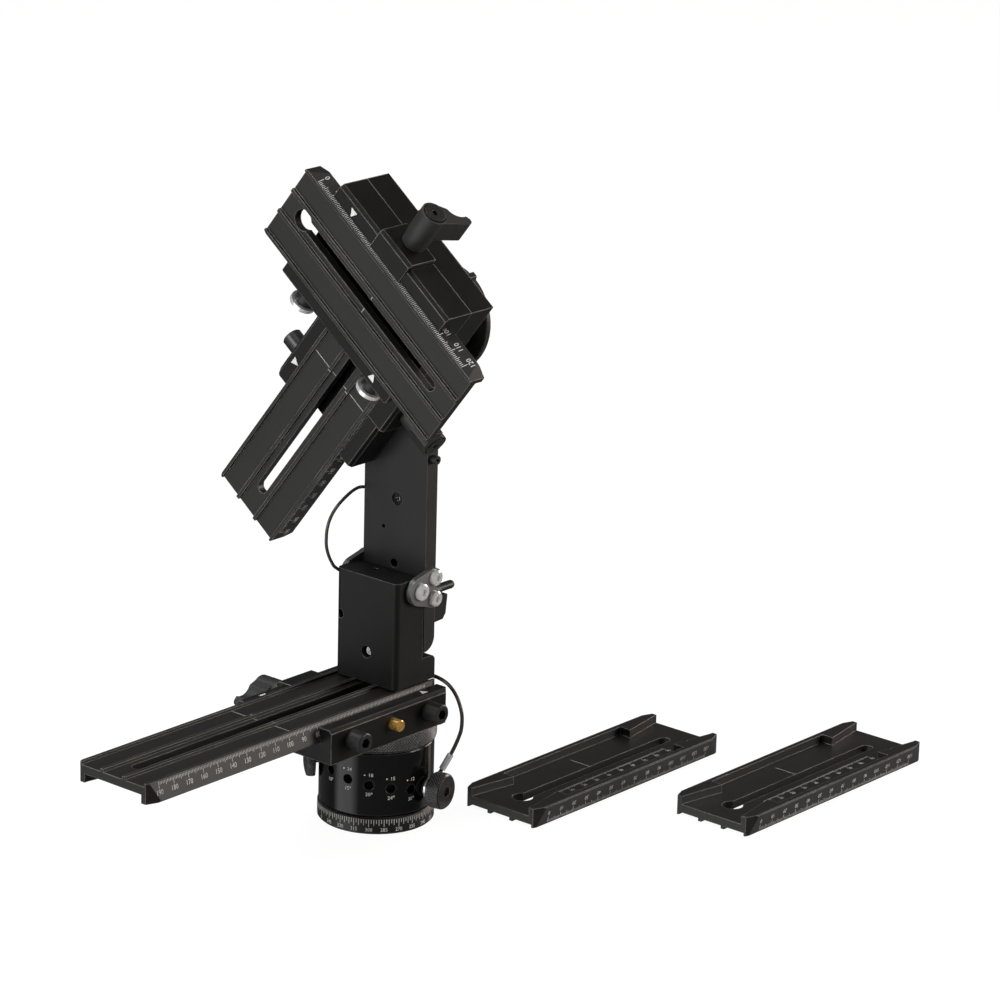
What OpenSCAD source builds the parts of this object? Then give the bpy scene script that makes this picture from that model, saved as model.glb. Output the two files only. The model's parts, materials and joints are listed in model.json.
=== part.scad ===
// Panoramic tripod head: indexed rotator, lower rail with folding upright,
// tilting middle rail and sliding camera rail, with two spare rails beside it.
// Origin: centre of the base's underside. +Z up, lower rail along X.

/* [Rotator] */
// Radius of the graduated base ring
base_r = 30.1; // [26:0.1:36]
// Height of the base ring
base_h = 9; // [8:0.5:12]
// Radius of the glossy index drum
drum_r = 29.6; // [26:0.1:32]
// Height of the index drum
drum_h = 34; // [30:0.5:42]
// Radius of the knurled top ring
top_ring_r = 30.4; // [28:0.1:34]
// Height of the knurled top ring
top_ring_h = 10.5; // [9:0.5:13]
// Radius of the fixed spindle
spindle_r = 9; // [7.5:0.25:10]
// Radius of the tripod thread in the base
tripod_thread_r = 4.76; // [3.1:0.02:5]

/* [Indexing] */
// Diameter of the index holes in the drum
index_hole_d = 5.2; // [4:0.1:6.5]
// Angle from one index hole to the next
index_angle = 22; // [18:0.5:26]
// Rise from one index hole to the next
index_rise = 2; // [1.6:0.1:2.4]
// Height of the first index hole above the drum's underside
index_first_h = 11.1; // [10:0.1:13]
// Direction of the index knob seen from above
index_dir = -79; // [-90:1:-70]
// Radius of the index knob
index_knob_r = 9.1; // [7:0.1:10]
// Length of the index knob
index_knob_len = 8.1; // [6:0.1:12]
// Radius of the pan lock knob
lock_knob_r = 9.3; // [7:0.1:10]
// Length of the pan lock knob
lock_knob_len = 6.4; // [5:0.1:10]
// Direction of the pan lock knob seen from above
lock_dir = 130; // [110:1:150]

/* [Rail section] */
// Half width of a rail across its face
rail_face_half = 23; // [20:0.25:25]
// Half width of a rail across its foot
rail_foot_half = 25.25; // [25:0.05:26]
// Height of a rail
rail_h = 10.5; // [9.5:0.1:12]
// Height of the two flanges under the web
flange_h = 4.5; // [3.5:0.1:5.5]
// Width of each flange along its middle
flange_w = 3.5; // [3:0.1:5]
// Depth of the grooves in the face
groove_d = 1.6; // [1:0.1:2.2]
// Width of the ridge along each edge of the face
edge_ridge_w = 1.8; // [1.2:0.1:3]
// Half width of the raised land beside the slot
land_half = 8.4; // [7:0.1:10]
// Width of the slot along a rail
slot_w = 6.4; // [5:0.1:8]
// Solid length left at each end of a slot
slot_end = 14; // [11:0.5:20]
// Length of the corner cuts along a rail
rail_corner = 8; // [4:0.25:12]
// Depth of the corner cuts across a rail's foot
rail_corner_w = 3; // [2.4:0.1:3.6]

/* [Rail lengths] */
// Length of the lower and middle rails
rail_len = 206.5; // [190:0.5:240]
// Length of the camera rail
camera_rail_len = 137.8; // [120:0.2:160]
// Length of each loose rail
spare_len = 152; // [120:1:160]
// Overhang of the lower rail behind the rotator axis
lower_rail_front = 18.5; // [16:0.5:21]

/* [Clamps] */
// Length of a clamp along its rail
clamp_len = 88; // [76:1:96]
// Half width of a clamp
clamp_half_w = 32.5; // [31:0.25:36]
// Height of the fixed jaws above the mount face
jaw_top = 18; // [15:0.25:19]
// Height of a rail's foot above the mount face
seat_h = 9.9; // [9.2:0.1:12]
// Half length of the moving jaw
jaw_half_len = 12; // [10:0.5:15]
// Thickness the moving jaw stands outside the fixed ones
jaw_proud = 3; // [1.5:0.25:5]
// Distance of each side screw from the clamp's middle
boss_x = 28.5; // [24:0.5:34]
// Radius of the side screw heads
boss_r = 5.2; // [4:0.1:6]
// Length of the side screw heads
boss_len = 9; // [6:0.25:12]
// Offset of the base clamp's middle from the rotator axis at its usual length
base_clamp_x = -25.5; // [-27:0.5:-22]

/* [Levers] */
// Reach of a lever's wing from its hub axis
lever_reach = 20.6; // [16:0.2:21]
// Radius of a lever's hub
lever_hub_r = 6.9; // [6:0.1:7]
// Length of the hub outside the moving jaw
lever_hub_len = 21.7; // [18:0.1:25]
// Depth of the wing along the hub axis
lever_wing_depth = 12; // [8:0.25:13]

/* [Fold block] */
// Half width of the block
block_half = 20.8; // [18:0.1:21]
// Depth of the block along the rail
block_depth = 20.1; // [18:0.1:24]
// Height of the block above the rail
block_h = 56.6; // [50:0.2:65]
// Radius of the block's top back edge about the pivot
pivot_edge_r = 6; // [5:0.1:7]
// Height of the step behind the block
step_h = 12.6; // [10:0.2:14]
// Depth of the step behind the block
step_depth = 9.6; // [7:0.2:10]

/* [Upright] */
// Half width of the upright
upright_half = 21.2; // [21.1:0.1:24]
// Thickness of the upright
upright_t = 7.8; // [7:0.1:10]
// Gap between the block and the upright
upright_gap = 0.5; // [0.4:0.1:1]
// Height of the upright's lower end above the rail
upright_foot = 15.6; // [15:0.2:20]
// Thickness of the hinge plates
plate_t = 3; // [2.5:0.1:4]
// Radius of the hinge plates about the pivot
plate_pivot_r = 7.6; // [6.5:0.1:9]
// Height of the tilt axis above the base
tilt_z = 256; // [250:1:280]

/* [Tilt] */
// Lean of the camera rail from level
lean = 38; // [34:1:60]
// Radius of the tilt housing
housing_r = 20; // [16:0.5:21]
// Length of the tilt housing
housing_len = 26.9; // [20:0.1:32]
// Radius of the tilt disc
disc_r = 27.9; // [24:0.1:32]
// Thickness of the tilt disc
disc_t = 3.4; // [2.5:0.1:5]
// Distance of the tilt clamp's middle below the tilt axis
tilt_clamp_drop = 21.7; // [18:0.1:25]
// Length of the middle rail above the tilt axis
middle_above = 68.8; // [66:0.2:72]
// Distance of the cross clamp's middle above the tilt axis
cross_rise = 40.9; // [39:0.1:43]
// Thickness of the plate under the cross clamp
cross_plate_t = 15.7; // [12:0.1:18]
// Offset of the camera rail's middle along the cross clamp
camera_offset = 5.2; // [-20:0.2:20]

/* [Tethers] */
// Diameter of the fold tether
fold_tether_d = 1.7; // [1.2:0.1:2]
// Diameter of the index tether
index_tether_d = 2; // [1.4:0.1:2.2]

/* [Hidden] */
$fn = 96;
e = 0.01;
run = 0.05;
slip = 0.1;
past = 1;

// Levels of the rotator
washer_t = 0.5;
drum_z = base_h + washer_t;
drum_top = drum_z + drum_h;
mount_z = drum_top + top_ring_h;
rail_foot_z = mount_z + seat_h;
rail_top_z = rail_foot_z + rail_h;
index_z = drum_z + index_first_h;
ring_room_r = 24.6;
detent_r = 23.6;
drum_floor = 5;
drum_roof = 3.4;
lock_z = drum_z + 20;
index_room = drum_top - drum_roof;
index_counts = [10, 12, 15, 18, 24, 36];

// Section of a rail: half width at a height above the foot
function bevel_half(h) = rail_foot_half + (rail_face_half - rail_foot_half) * h / rail_h;
function bevel_run(h) = bevel_half(h) + jaw_gap;
jaw_gap = 0.2;
floor_gap = 0.1;
floor_h = seat_h - floor_gap;
ridge_w = 2;
foot_break = 0.7;
jaw_edge = 1.7;
web_t = rail_h - flange_h - groove_d;
channel_half = rail_foot_half - flange_w;
channel_end_half = 19.3;
channel_step_half = 14.9;
channel_end_x = 2;
channel_step_x = 28;

// Moving jaw and its lever
body_side = rail_foot_half + 0.65;
jaw_side = body_side + 0.3;
jaw_foot_h = 0.4;
jaw_rise = 1;
jaw_top_h = jaw_top + jaw_rise;
jaw_out = clamp_half_w + jaw_proud;
clamp_screw_h = 6.5;
clamp_screw_r = 2.5;
hub_in = jaw_out + 0.3;
hub_out = hub_in + lever_hub_len;
hub_root_r = lever_hub_r - 0.7;
wing_in = hub_out - lever_wing_depth;
cap_recess_r = 6;
cap_recess_d = 1.6;
cap_r = 5.4;
guide_x = 7.6;
clamp_ref_len = 88;
base_front_x = base_clamp_x + clamp_ref_len / 2;
base_mid_x = base_front_x - clamp_len / 2;
guide_r = 1.4;
base_lever_turn = 8;
tilt_lever_turn = 135;
cross_lever_turn = 243;

// Fold block, upright and tilt unit
block_front = -9.7;
block_back = block_front + block_depth;
block_top = rail_top_z + block_h;
pivot_x = block_back - pivot_edge_r;
pivot_z = block_top - pivot_edge_r;
upright_x = block_back + upright_gap;
upright_back = upright_x + upright_t;
upright_mid = upright_x + upright_t / 2;
upright_low = rail_top_z + upright_foot;
clamp_gap = 0.6;
tilt_face = upright_x - clamp_gap;
housing_back = upright_back + housing_len;
disc_x = housing_back + 0.4;
middle_foot = tilt_face - seat_h;
middle_face = middle_foot - rail_h;
cross_face = middle_face - cross_plate_t;
camera_foot = cross_face - seat_h;
camera_face = camera_foot - rail_h;

// Extrude an outline drawn across the object (its x to Y, its y to Z) along X
module along_x(x0, x1) {
    translate([x0, 0, 0])
        rotate([90, 0, 90])
            linear_extrude(height = x1 - x0)
                children();
}

// Extrude an outline drawn seen from the near side (its x to X, its y to Z) along Y
module along_y(y0, y1) {
    translate([0, y1, 0])
        rotate([90, 0, 0])
            linear_extrude(height = y1 - y0)
                children();
}

module rod_x(x0, x1, r) {
    translate([x0, 0, 0])
        rotate([0, 90, 0])
            cylinder(h = x1 - x0, r = r);
}

module rod_y(y0, y1, r) {
    translate([0, y1, 0])
        rotate([90, 0, 0])
            cylinder(h = y1 - y0, r = r);
}

module taper_y(y0, y1, r0, r1) {
    translate([0, y0, 0])
        rotate([-90, 0, 0])
            cylinder(h = y1 - y0, r1 = r0, r2 = r1);
}

module ring_z(z0, z1, r_out, r_in) {
    translate([0, 0, z0])
        difference() {
            cylinder(h = z1 - z0, r = r_out);
            translate([0, 0, -past])
                cylinder(h = z1 - z0 + 2 * past, r = r_in);
        }
}

// Frames of the tilted parts: z points out of the face towards the camera side
module in_base() {
    translate([base_mid_x, 0, mount_z])
        children();
}

module tilted(turn) {
    translate([0, 0, tilt_z])
        rotate([turn, 0, 0])
            rotate([0, -90, 0])
                children();
}

// x down the middle rail, y across it towards the moving jaw
module in_middle() {
    tilted(180 + lean)
        children();
}

module in_tilt_clamp() {
    in_middle()
        translate([tilt_clamp_drop, 0, -tilt_face])
            children();
}

// x down the camera rail, y across it towards the moving jaw
module in_camera() {
    tilted(90 + lean)
        children();
}

module in_cross_clamp() {
    in_camera()
        translate([0, cross_rise, -cross_face])
            children();
}

// Frame of a sideways pin in the drum: x points out of the drum
module at_drum(dir, z) {
    rotate([0, 0, dir])
        translate([0, 0, z])
            children();
}

// Hexagonal socket pointing along +Z, across flats af
module hex_socket(af, depth) {
    cylinder(h = depth, r = af / sqrt(3), $fn = 6);
}

// Outline shared by two discs and the straight sides that touch both
module link(p, rp, q, rq) {
    d = norm(q - p);
    dir = (q - p) / d;
    side = [-dir[1], dir[0]];
    s = (rp - rq) / d;
    c = sqrt(1 - s * s);
    a = s * dir + c * side;
    b = s * dir - c * side;
    translate(p)
        circle(r = rp);
    translate(q)
        circle(r = rq);
    polygon([p + rp * a, q + rq * a, q + rq * b, p + rp * b]);
}

// A rail from x0 to x1, foot at z 0, face up, slot from s0 to s1
module rail_blank(x0, x1, s0, s1, key_r) {
    cut = rail_corner;
    cut_w = rail_corner_w;
    difference() {
        along_x(x0, x1)
            polygon([
                [-rail_foot_half + foot_break, 0],
                [rail_foot_half - foot_break, 0],
                [bevel_half(foot_break), foot_break],
                [rail_face_half, rail_h],
                [-rail_face_half, rail_h],
                [-bevel_half(foot_break), foot_break]
            ]);
        // Three grooves along the face leave four ridges
        for (side = [-1, 1])
            translate([x0 - past, side > 0 ? land_half : -rail_face_half + edge_ridge_w, rail_h - groove_d])
                cube([x1 - x0 + 2 * past, rail_face_half - edge_ridge_w - land_half, groove_d + past]);
        translate([x0 - past, ridge_w - land_half, rail_h - groove_d])
            cube([x1 - x0 + 2 * past, 2 * (land_half - ridge_w), groove_d + past]);
        // Channel between the flanges, which widen towards a step near each end
        translate([0, 0, -past])
            linear_extrude(height = flange_h + past) {
                xa = x0 + channel_step_x;
                xb = x1 - channel_step_x;
                translate([xa - e, -channel_half])
                    square([xb - xa + 2 * e, 2 * channel_half]);
                polygon([
                    [x0 - past, -channel_end_half],
                    [x0 + channel_end_x, -channel_end_half],
                    [xa, -channel_step_half],
                    [xa, channel_step_half],
                    [x0 + channel_end_x, channel_end_half],
                    [x0 - past, channel_end_half]
                ]);
                polygon([
                    [xb, -channel_step_half],
                    [x1 - channel_end_x, -channel_end_half],
                    [x1 + past, -channel_end_half],
                    [x1 + past, channel_end_half],
                    [x1 - channel_end_x, channel_end_half],
                    [xb, channel_step_half]
                ]);
            }
        // Slot with round ends, and the wide end of a keyhole
        translate([0, 0, -past])
            linear_extrude(height = rail_h + 2 * past) {
                link([s0, 0], slot_w / 2, [s1, 0], slot_w / 2);
                if (key_r > 0)
                    translate([s0, 0])
                        circle(r = key_r);
            }
        // Corners, cut long and narrow
        for (sx = [0, 1])
            for (sy = [0, 1])
                translate([sx > 0 ? x1 : x0, 0, -past])
                    mirror([sx, 0, 0])
                        mirror([0, sy, 0])
                            linear_extrude(height = rail_h + 2 * past)
                                polygon([
                                    [-past, rail_foot_half - cut_w - past * cut_w / cut],
                                    [cut + past * cut / cut_w, rail_foot_half + past],
                                    [-past, rail_foot_half + past]
                                ]);
    }
}

// The fixed body of a clamp, mount face at z 0
module clamp_body() {
    x1 = clamp_len / 2;
    grip = jaw_top - seat_h;
    difference() {
        along_x(-x1, x1)
            polygon([
                [-clamp_half_w, 0],
                [clamp_half_w, 0],
                [clamp_half_w, jaw_top - jaw_edge],
                [clamp_half_w - jaw_edge, jaw_top],
                [bevel_run(grip), jaw_top],
                [bevel_run(-floor_gap), floor_h],
                [-bevel_run(-floor_gap), floor_h],
                [-bevel_run(grip), jaw_top],
                [-clamp_half_w + jaw_edge, jaw_top],
                [-clamp_half_w, jaw_top - jaw_edge]
            ]);
        // Room for the moving jaw
        translate([-jaw_half_len - slip, body_side, -past])
            cube([2 * (jaw_half_len + slip), clamp_half_w, jaw_top + 2 * past]);
        translate([-jaw_half_len - slip, 0, floor_h])
            cube([2 * (jaw_half_len + slip), clamp_half_w, jaw_top]);
        // Hole for the clamp screw and the jaw's guide pins
        translate([0, 0, clamp_screw_h]) {
            rod_y(screw_in - 2, body_side + past, clamp_screw_r + slip);
            for (s = [-1, 1])
                translate([s * guide_x, 0, 0])
                    rod_y(guide_in - 0.5, body_side + past, guide_r + run);
        }
        // Blind holes for the side screws
        for (s = [-1, 1])
            translate([s * boss_x, 0, boss_h])
                rod_y(-clamp_half_w - past, -clamp_half_w + boss_stud_len + 0.3, boss_stud_r + run);
        // End cut on the near jaw
        translate([x1, -clamp_half_w, -past])
            rotate([0, 0, 45])
                translate([-near_cut * sqrt(0.5), -near_cut * sqrt(0.5), 0])
                    cube([near_cut * sqrt(2), near_cut * sqrt(2), jaw_top + 2 * past]);
    }
}
near_cut = 2.6;
screw_in = 8;
guide_in = 16.2;
boss_h = 9.8;
boss_stud_r = 2.5;
boss_stud_len = 5;

// Recessed heads through the clamp floor at the given points
module floor_holes(points) {
    for (p = points)
        translate([p[0], p[1], 0]) {
            translate([0, 0, floor_h - floor_head_h])
                cylinder(h = floor_head_h + past, r = floor_head_r + slip);
            translate([0, 0, -past])
                cylinder(h = floor_h + 2 * past, r = floor_screw_r + slip);
        }
}
floor_head_h = 4;
floor_head_r = 3.6;
floor_screw_r = 2;
floor_head_t = 3.4;

module floor_screws(points, deep) {
    for (p = points)
        translate([p[0], p[1], 0])
            difference() {
                union() {
                    translate([0, 0, floor_h - floor_head_h])
                        cylinder(h = floor_head_t, r = floor_head_r);
                    translate([0, 0, -deep])
                        cylinder(h = floor_h - floor_head_h + deep + e, r = floor_screw_r);
                }
                translate([0, 0, floor_h - floor_head_h + floor_head_t - 2])
                    hex_socket(3, 2 + past);
            }
}

module side_bosses(gap) {
    for (s = [-1, 1])
        translate([s * boss_x, 0, boss_h])
            difference() {
                union() {
                    taper_y(
                        -clamp_half_w - gap - boss_len,
                        -clamp_half_w - gap - boss_len + 0.6,
                        boss_r - 0.6,
                        boss_r
                    );
                    rod_y(-clamp_half_w - gap - boss_len + 0.6, -clamp_half_w - gap, boss_r);
                    rod_y(-clamp_half_w - gap - e, -clamp_half_w + boss_stud_len, boss_stud_r);
                }
                translate([0, -clamp_half_w - gap - boss_len - past, 0])
                    rotate([-90, 0, 0])
                        hex_socket(5, 5 + past);
            }
}

// Moving jaw with its two guide pins
module jaw() {
    grip = jaw_top_h - seat_h;
    difference() {
        along_x(-jaw_half_len, jaw_half_len)
            polygon([
                [jaw_side, jaw_foot_h],
                [jaw_out, jaw_foot_h],
                [jaw_out, jaw_top_h - jaw_edge],
                [jaw_out - jaw_edge, jaw_top_h],
                [bevel_half(grip) + jaw_bite, jaw_top_h],
                [bevel_half(foot_break) + jaw_bite, seat_h + foot_break],
                [jaw_side, seat_h]
            ]);
        translate([0, 0, clamp_screw_h])
            rod_y(jaw_side - past, jaw_out + past, clamp_screw_r + slip);
    }
    for (s = [-1, 1])
        translate([s * guide_x, 0, clamp_screw_h])
            rod_y(guide_in, jaw_side + 2, guide_r);
}
jaw_bite = 0.1;

// Lever: a hub round the clamp screw with a wing on its outer end
module lever(turn) {
    k = lever_reach / 20.6;
    g = lever_hub_r / 6.9;
    wing = concat(
        [[0, 5.8 * g], [1.55 * k, 6.45 * g]],
        arc([18.4 * k, 0.1 * g], 2.2 * g, 76, -62, 7),
        arc([14.2 * k, -8.6 * g], 7.1 * g, 56, 149, 9),
        [[2.2 * k, -6.2 * g], [0, -5.8 * g]]
    );
    translate([0, 0, clamp_screw_h])
        rotate([0, turn, 0])
            difference() {
                union() {
                    rotate([0, 180, 0])
                        rotate([-90, 0, 0])
                            rotate_extrude()
                                polygon([
                                    [0, hub_in],
                                    [hub_root_r, hub_in],
                                    [lever_hub_r, wing_in - 0.5],
                                    [lever_hub_r, hub_out],
                                    [0, hub_out]
                                ]);
                    along_y(wing_in, hub_out)
                        polygon(wing);
                }
                rotate([0, 180, 0]) {
                    rod_y(hub_out - cap_recess_d, hub_out + past, cap_recess_r);
                    rod_y(hub_in - past, hub_out, clamp_screw_r + run);
                }
            }
}

// Points along an arc
function arc(c, r, a0, a1, n) =
    [for (i = [0 : n]) c + r * [cos(a0 + (a1 - a0) * i / n), sin(a0 + (a1 - a0) * i / n)]];

module lever_screw() {
    translate([0, 0, clamp_screw_h])
        difference() {
            union() {
                rod_y(screw_in, hub_out - cap_recess_d + e, clamp_screw_r);
                rod_y(hub_out - cap_recess_d, hub_out + 0.4, cap_r);
            }
            translate([0, hub_out - 1.2, 0])
                rotate([-90, 0, 0])
                    hex_socket(3, 3);
        }
}

// Fixed base
module base_ring() {
    color([0.16, 0.16, 0.17])
        rotate_extrude()
            polygon([
                [bush_r, 0],
                [base_r - 0.8, 0],
                [base_r, 0.8],
                [base_r, base_h - 0.8],
                [base_r - 0.8, base_h],
                [spindle_r + run, base_h],
                [spindle_r + run, base_h - spindle_seat],
                [bush_r, base_h - spindle_seat]
            ]);
}
bush_r = 7.2;
spindle_seat = 3;

module tripod_bush() {
    color([0.62, 0.62, 0.62])
        ring_z(0, base_h - spindle_seat, bush_r - run, tripod_thread_r);
}

module spindle() {
    color([0.6, 0.6, 0.62])
        difference() {
            union() {
                translate([0, 0, base_h - spindle_seat])
                    cylinder(h = index_room + 1 - base_h + spindle_seat, r = spindle_r);
                translate([0, 0, index_room])
                    cylinder(h = drum_roof + 7, r = nut_thread_r);
            }
            translate([0, 0, base_h - spindle_seat - past])
                cylinder(h = 9 + past, r = tripod_thread_r);
        }
}
nut_thread_r = 5.5;

// Ring stack: one ring of detent notches at the height of each index hole
module index_rings() {
    color([0.4, 0.4, 0.41])
        for (i = [0 : 5])
            translate([0, 0, index_z + i * index_rise - index_rise / 2])
                linear_extrude(height = index_rise)
                    difference() {
                        circle(r = detent_r);
                        circle(r = spindle_r + run);
                        for (k = [0 : index_counts[i] - 1])
                            rotate(index_dir - i * index_angle + k * 360 / index_counts[i])
                                translate([detent_r, 0])
                                    circle(r = notch_r);
                    }
}
notch_r = 1.3;

module lower_washer() {
    color([0.7, 0.55, 0.3])
        ring_z(base_h, drum_z, detent_r - 1.6, spindle_r + 0.3);
}

module spindle_nut() {
    color([0.6, 0.6, 0.62])
        difference() {
            translate([0, 0, drum_top + roof_washer_t])
                cylinder(h = nut_h, r = 8.5, $fn = 6);
            translate([0, 0, drum_top])
                cylinder(h = nut_room, r = nut_thread_r + 0.02);
        }
}
nut_h = 5;

module upper_washer() {
    color([0.7, 0.55, 0.3])
        ring_z(drum_top, drum_top + roof_washer_t, 13, nut_thread_r + 0.3);
}
roof_washer_t = 1;

// Turning drum
module index_drum() {
    color([0.03, 0.03, 0.035])
        difference() {
            rotate_extrude()
                polygon([
                    [bush_out_r, drum_z],
                    [drum_r - 0.6, drum_z],
                    [drum_r, drum_z + 0.6],
                    [drum_r, drum_top - 0.6],
                    [drum_r - 0.6, drum_top],
                    [bush_out_r, drum_top],
                    [bush_out_r, index_room],
                    [ring_room_r, index_room],
                    [ring_room_r, drum_z + drum_floor],
                    [bush_out_r, drum_z + drum_floor]
                ]);
            for (i = [0 : 5])
                at_drum(index_dir - i * index_angle, index_z + i * index_rise)
                    rod_x(ring_room_r - 3, drum_r + past, index_hole_d / 2);
            at_drum(index_dir, index_z)
                rod_x(neck_in, drum_r + past, neck_r + 0.02);
            at_drum(lock_dir, lock_z)
                rod_x(ring_room_r - 3, drum_r + past, lock_screw_r + slip);
        }
}
bush_out_r = spindle_r + 2.5;
neck_in = drum_r - 2.2;
neck_out = drum_r + 3.9;
neck_r = 4;
lock_screw_r = 2.5;

module drum_bush() {
    color([0.75, 0.6, 0.35]) {
        ring_z(drum_z, drum_z + drum_floor, bush_out_r, spindle_r + run);
        ring_z(index_room, drum_top, bush_out_r, spindle_r + run);
    }
}

module index_neck() {
    color([0.12, 0.12, 0.13])
        at_drum(index_dir, index_z)
            difference() {
                rod_x(neck_in, neck_out, neck_r);
                rod_x(neck_in - past, neck_out + past, index_hole_d / 2);
            }
}

module top_ring() {
    color([0.1, 0.1, 0.11])
        difference() {
            translate([0, 0, drum_top])
                rotate_extrude()
                    polygon([
                        [0, 0],
                        [top_ring_r - 0.8, 0],
                        [top_ring_r, 0.8],
                        [top_ring_r, top_ring_h - 0.8],
                        [top_ring_r - 0.8, top_ring_h],
                        [0, top_ring_h]
                    ]);
            translate([0, 0, drum_top - past])
                cylinder(h = nut_room + past, r = 14.2);
            for (x = [-base_screw, base_screw])
                for (y = [-base_screw, base_screw])
                    translate([x, y, mount_z - base_screw_deep - 0.3])
                        cylinder(h = base_screw_deep + past, r = floor_screw_r + 0.02);
        }
}
nut_room = 7.3;
base_screw = 12;
base_screw_deep = 7.5;
base_screw_points = [for (x = [-1, 1]) for (y = [-1, 1]) [x * base_screw - base_mid_x, y * base_screw]];

module base_clamp() {
    color([0.14, 0.14, 0.15])
        in_base()
            difference() {
                clamp_body();
                floor_holes(base_screw_points);
                // Stepped bore of the safety pin
                translate([pin_x, 0, pin_h]) {
                    rod_y(-clamp_half_w - past, -clamp_half_w + pin_room, pin_r + slip);
                    rod_y(-clamp_half_w - past, -clamp_half_w + pin_stem_room, pin_stem_r + slip);
                }
                // Tapped hole for the tether's anchor
                translate([0, anchor_y, anchor_h])
                    rod_x(clamp_len / 2 - 5, clamp_len / 2 + past, 1.52);
            }
}
pin_x = 1.3;
pin_h = 10.2;
pin_r = 3;
pin_out = 5.8;
pin_in = 0.4;
pin_press = 2.5;
pin_room = pin_press - pin_in + 0.9;
pin_stem_r = 1.3;
pin_stem_in = 3.2;
pin_stem_room = pin_stem_in + pin_press + 0.3;
anchor_y = 8;
anchor_h = 5;

module base_clamp_screws() {
    color([0.3, 0.3, 0.32])
        in_base()
            floor_screws(base_screw_points, base_screw_deep);
}

module base_bosses() {
    color([0.12, 0.12, 0.13])
        in_base()
            side_bosses(0);
}

// Tether and its fittings
module tether_eyelet() {
    color([0.7, 0.7, 0.72])
        at_drum(index_dir, index_z)
            difference() {
                rod_x(drum_r + 1.6, drum_r + 3.2, eyelet_r);
                rod_x(drum_r, drum_r + 5, neck_r);
            }
}
eyelet_r = 5.4;

module tether_anchor() {
    color([0.7, 0.7, 0.72])
        in_base()
            translate([0, anchor_y, anchor_h]) {
                rod_x(clamp_len / 2, clamp_len / 2 + anchor_t, 2.6);
                rod_x(clamp_len / 2 - 4, clamp_len / 2 + e, 1.5);
            }
}
anchor_t = 2;

// A cord along points, eight sides, rings square to the path
function unit(v) = v / norm(v);
function path_dir(p, i) = unit(p[min(i + 1, len(p) - 1)] - p[max(i - 1, 0)]);
function ring_at(p, i, t, ref, r) =
    let (n = unit(cross(t, ref)), b = cross(t, n))
    [for (k = [0 : 7]) p[i] + r * (cos(k * 45) * n + sin(k * 45) * b)];
module cord(p, ref, d) {
    n = len(p);
    pts = [for (i = [0 : n - 1]) each ring_at(p, i, path_dir(p, i), ref, d / 2)];
    sides = [for (i = [0 : n - 2]) for (k = [0 : 7])
        [i * 8 + k, i * 8 + (k + 1) % 8, (i + 1) * 8 + (k + 1) % 8, (i + 1) * 8 + k]];
    first = [[for (k = [0 : 7]) 7 - k]];
    last = [[for (k = [0 : 7]) (n - 1) * 8 + k]];
    polyhedron(points = pts, faces = concat(first, sides, last), convexity = 6);
}

cord_from = [18.5, 54];
cord_shift = [base_front_x - cord_from[0], 0, mount_z - cord_from[1]];
eyelet_pull = [0.835, 0.162, 0.53];
eyelet_at = [cos(index_dir) * (drum_r + 2.4), sin(index_dir) * (drum_r + 2.4), index_z];
index_tether_bends = [
    [14, -30.4, 26.2], [15.2, -31, 27.7], [18, -32, 32.3], [20.4, -33, 36.1], [21.9, -34, 39.8],
    [22.8, -35.5, 44.4], [24, -36, 48], [24.2, -36.4, 51.8], [24.3, -36.2, 56.6], [24.1, -34.9, 61.6],
    [24, -32.4, 66.2], [23.8, -28.9, 69.9], [23.4, -24.9, 72.2], [23, -20.5, 73.4], [22.8, -15.6, 73.6],
    [22.8, -10.6, 73.2], [22.9, -5.8, 72.1], [23.1, -1.3, 70.2], [23.4, 2.8, 67.5], [23.7, 6, 63.8]
];
index_tether_path = concat(
    [eyelet_at + eyelet_r * unit(eyelet_pull), eyelet_at + (eyelet_r + index_tether_d) * unit(eyelet_pull)],
    [for (q = index_tether_bends) q + cord_shift],
    [[base_front_x + anchor_t + index_tether_d, anchor_y, mount_z + anchor_h],
     [base_front_x + anchor_t, anchor_y, mount_z + anchor_h]]
);

module index_tether() {
    color([0.08, 0.08, 0.08])
        cord(index_tether_path, [0.6, 0.75, -0.3], index_tether_d);
}

module tether_sleeve() {
    a = index_tether_bends[1] + cord_shift;
    b = index_tether_bends[3] + cord_shift;
    d = b - a;
    color([0.75, 0.75, 0.77])
        translate(a + unit(d) * 0.6)
            rotate([0, acos(d[2] / norm(d)), atan2(d[1], d[0])])
                difference() {
                    cylinder(h = norm(d) - 1.2, r = 1.7);
                    translate([0, 0, -past])
                        cylinder(h = norm(d) + 2, r = index_tether_d / 2 + 0.25);
                }
}

// Index pin, pan lock and safety pin
module index_knob() {
    color([0.12, 0.12, 0.13])
        at_drum(index_dir, index_z)
            translate([neck_out + 0.4, 0, 0])
                rotate([0, 90, 0])
                    difference() {
                        rotate_extrude()
                            polygon([
                                [pin_shaft_r, 0],
                                [index_knob_r - 0.8, 0],
                                [index_knob_r, 0.8],
                                [index_knob_r, index_knob_len - 0.8],
                                [index_knob_r - 0.8, index_knob_len],
                                [pin_shaft_r, index_knob_len]
                            ]);
                        translate([0, 0, index_knob_len - 4.5])
                            hex_socket(5.2, 6);
                    }
}
pin_shaft_r = index_hole_d / 2 - slip;

module index_pin() {
    color([0.7, 0.7, 0.72])
        at_drum(index_dir, index_z) {
            rod_x(ring_room_r + 0.6, neck_out + 0.4 + index_knob_len - 4.6, pin_shaft_r);
            rod_x(detent_r + tip_gap, ring_room_r + 0.6 + e, tip_r);
        }
}

tip_gap = 0.3;
tip_r = 0.85;

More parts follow.
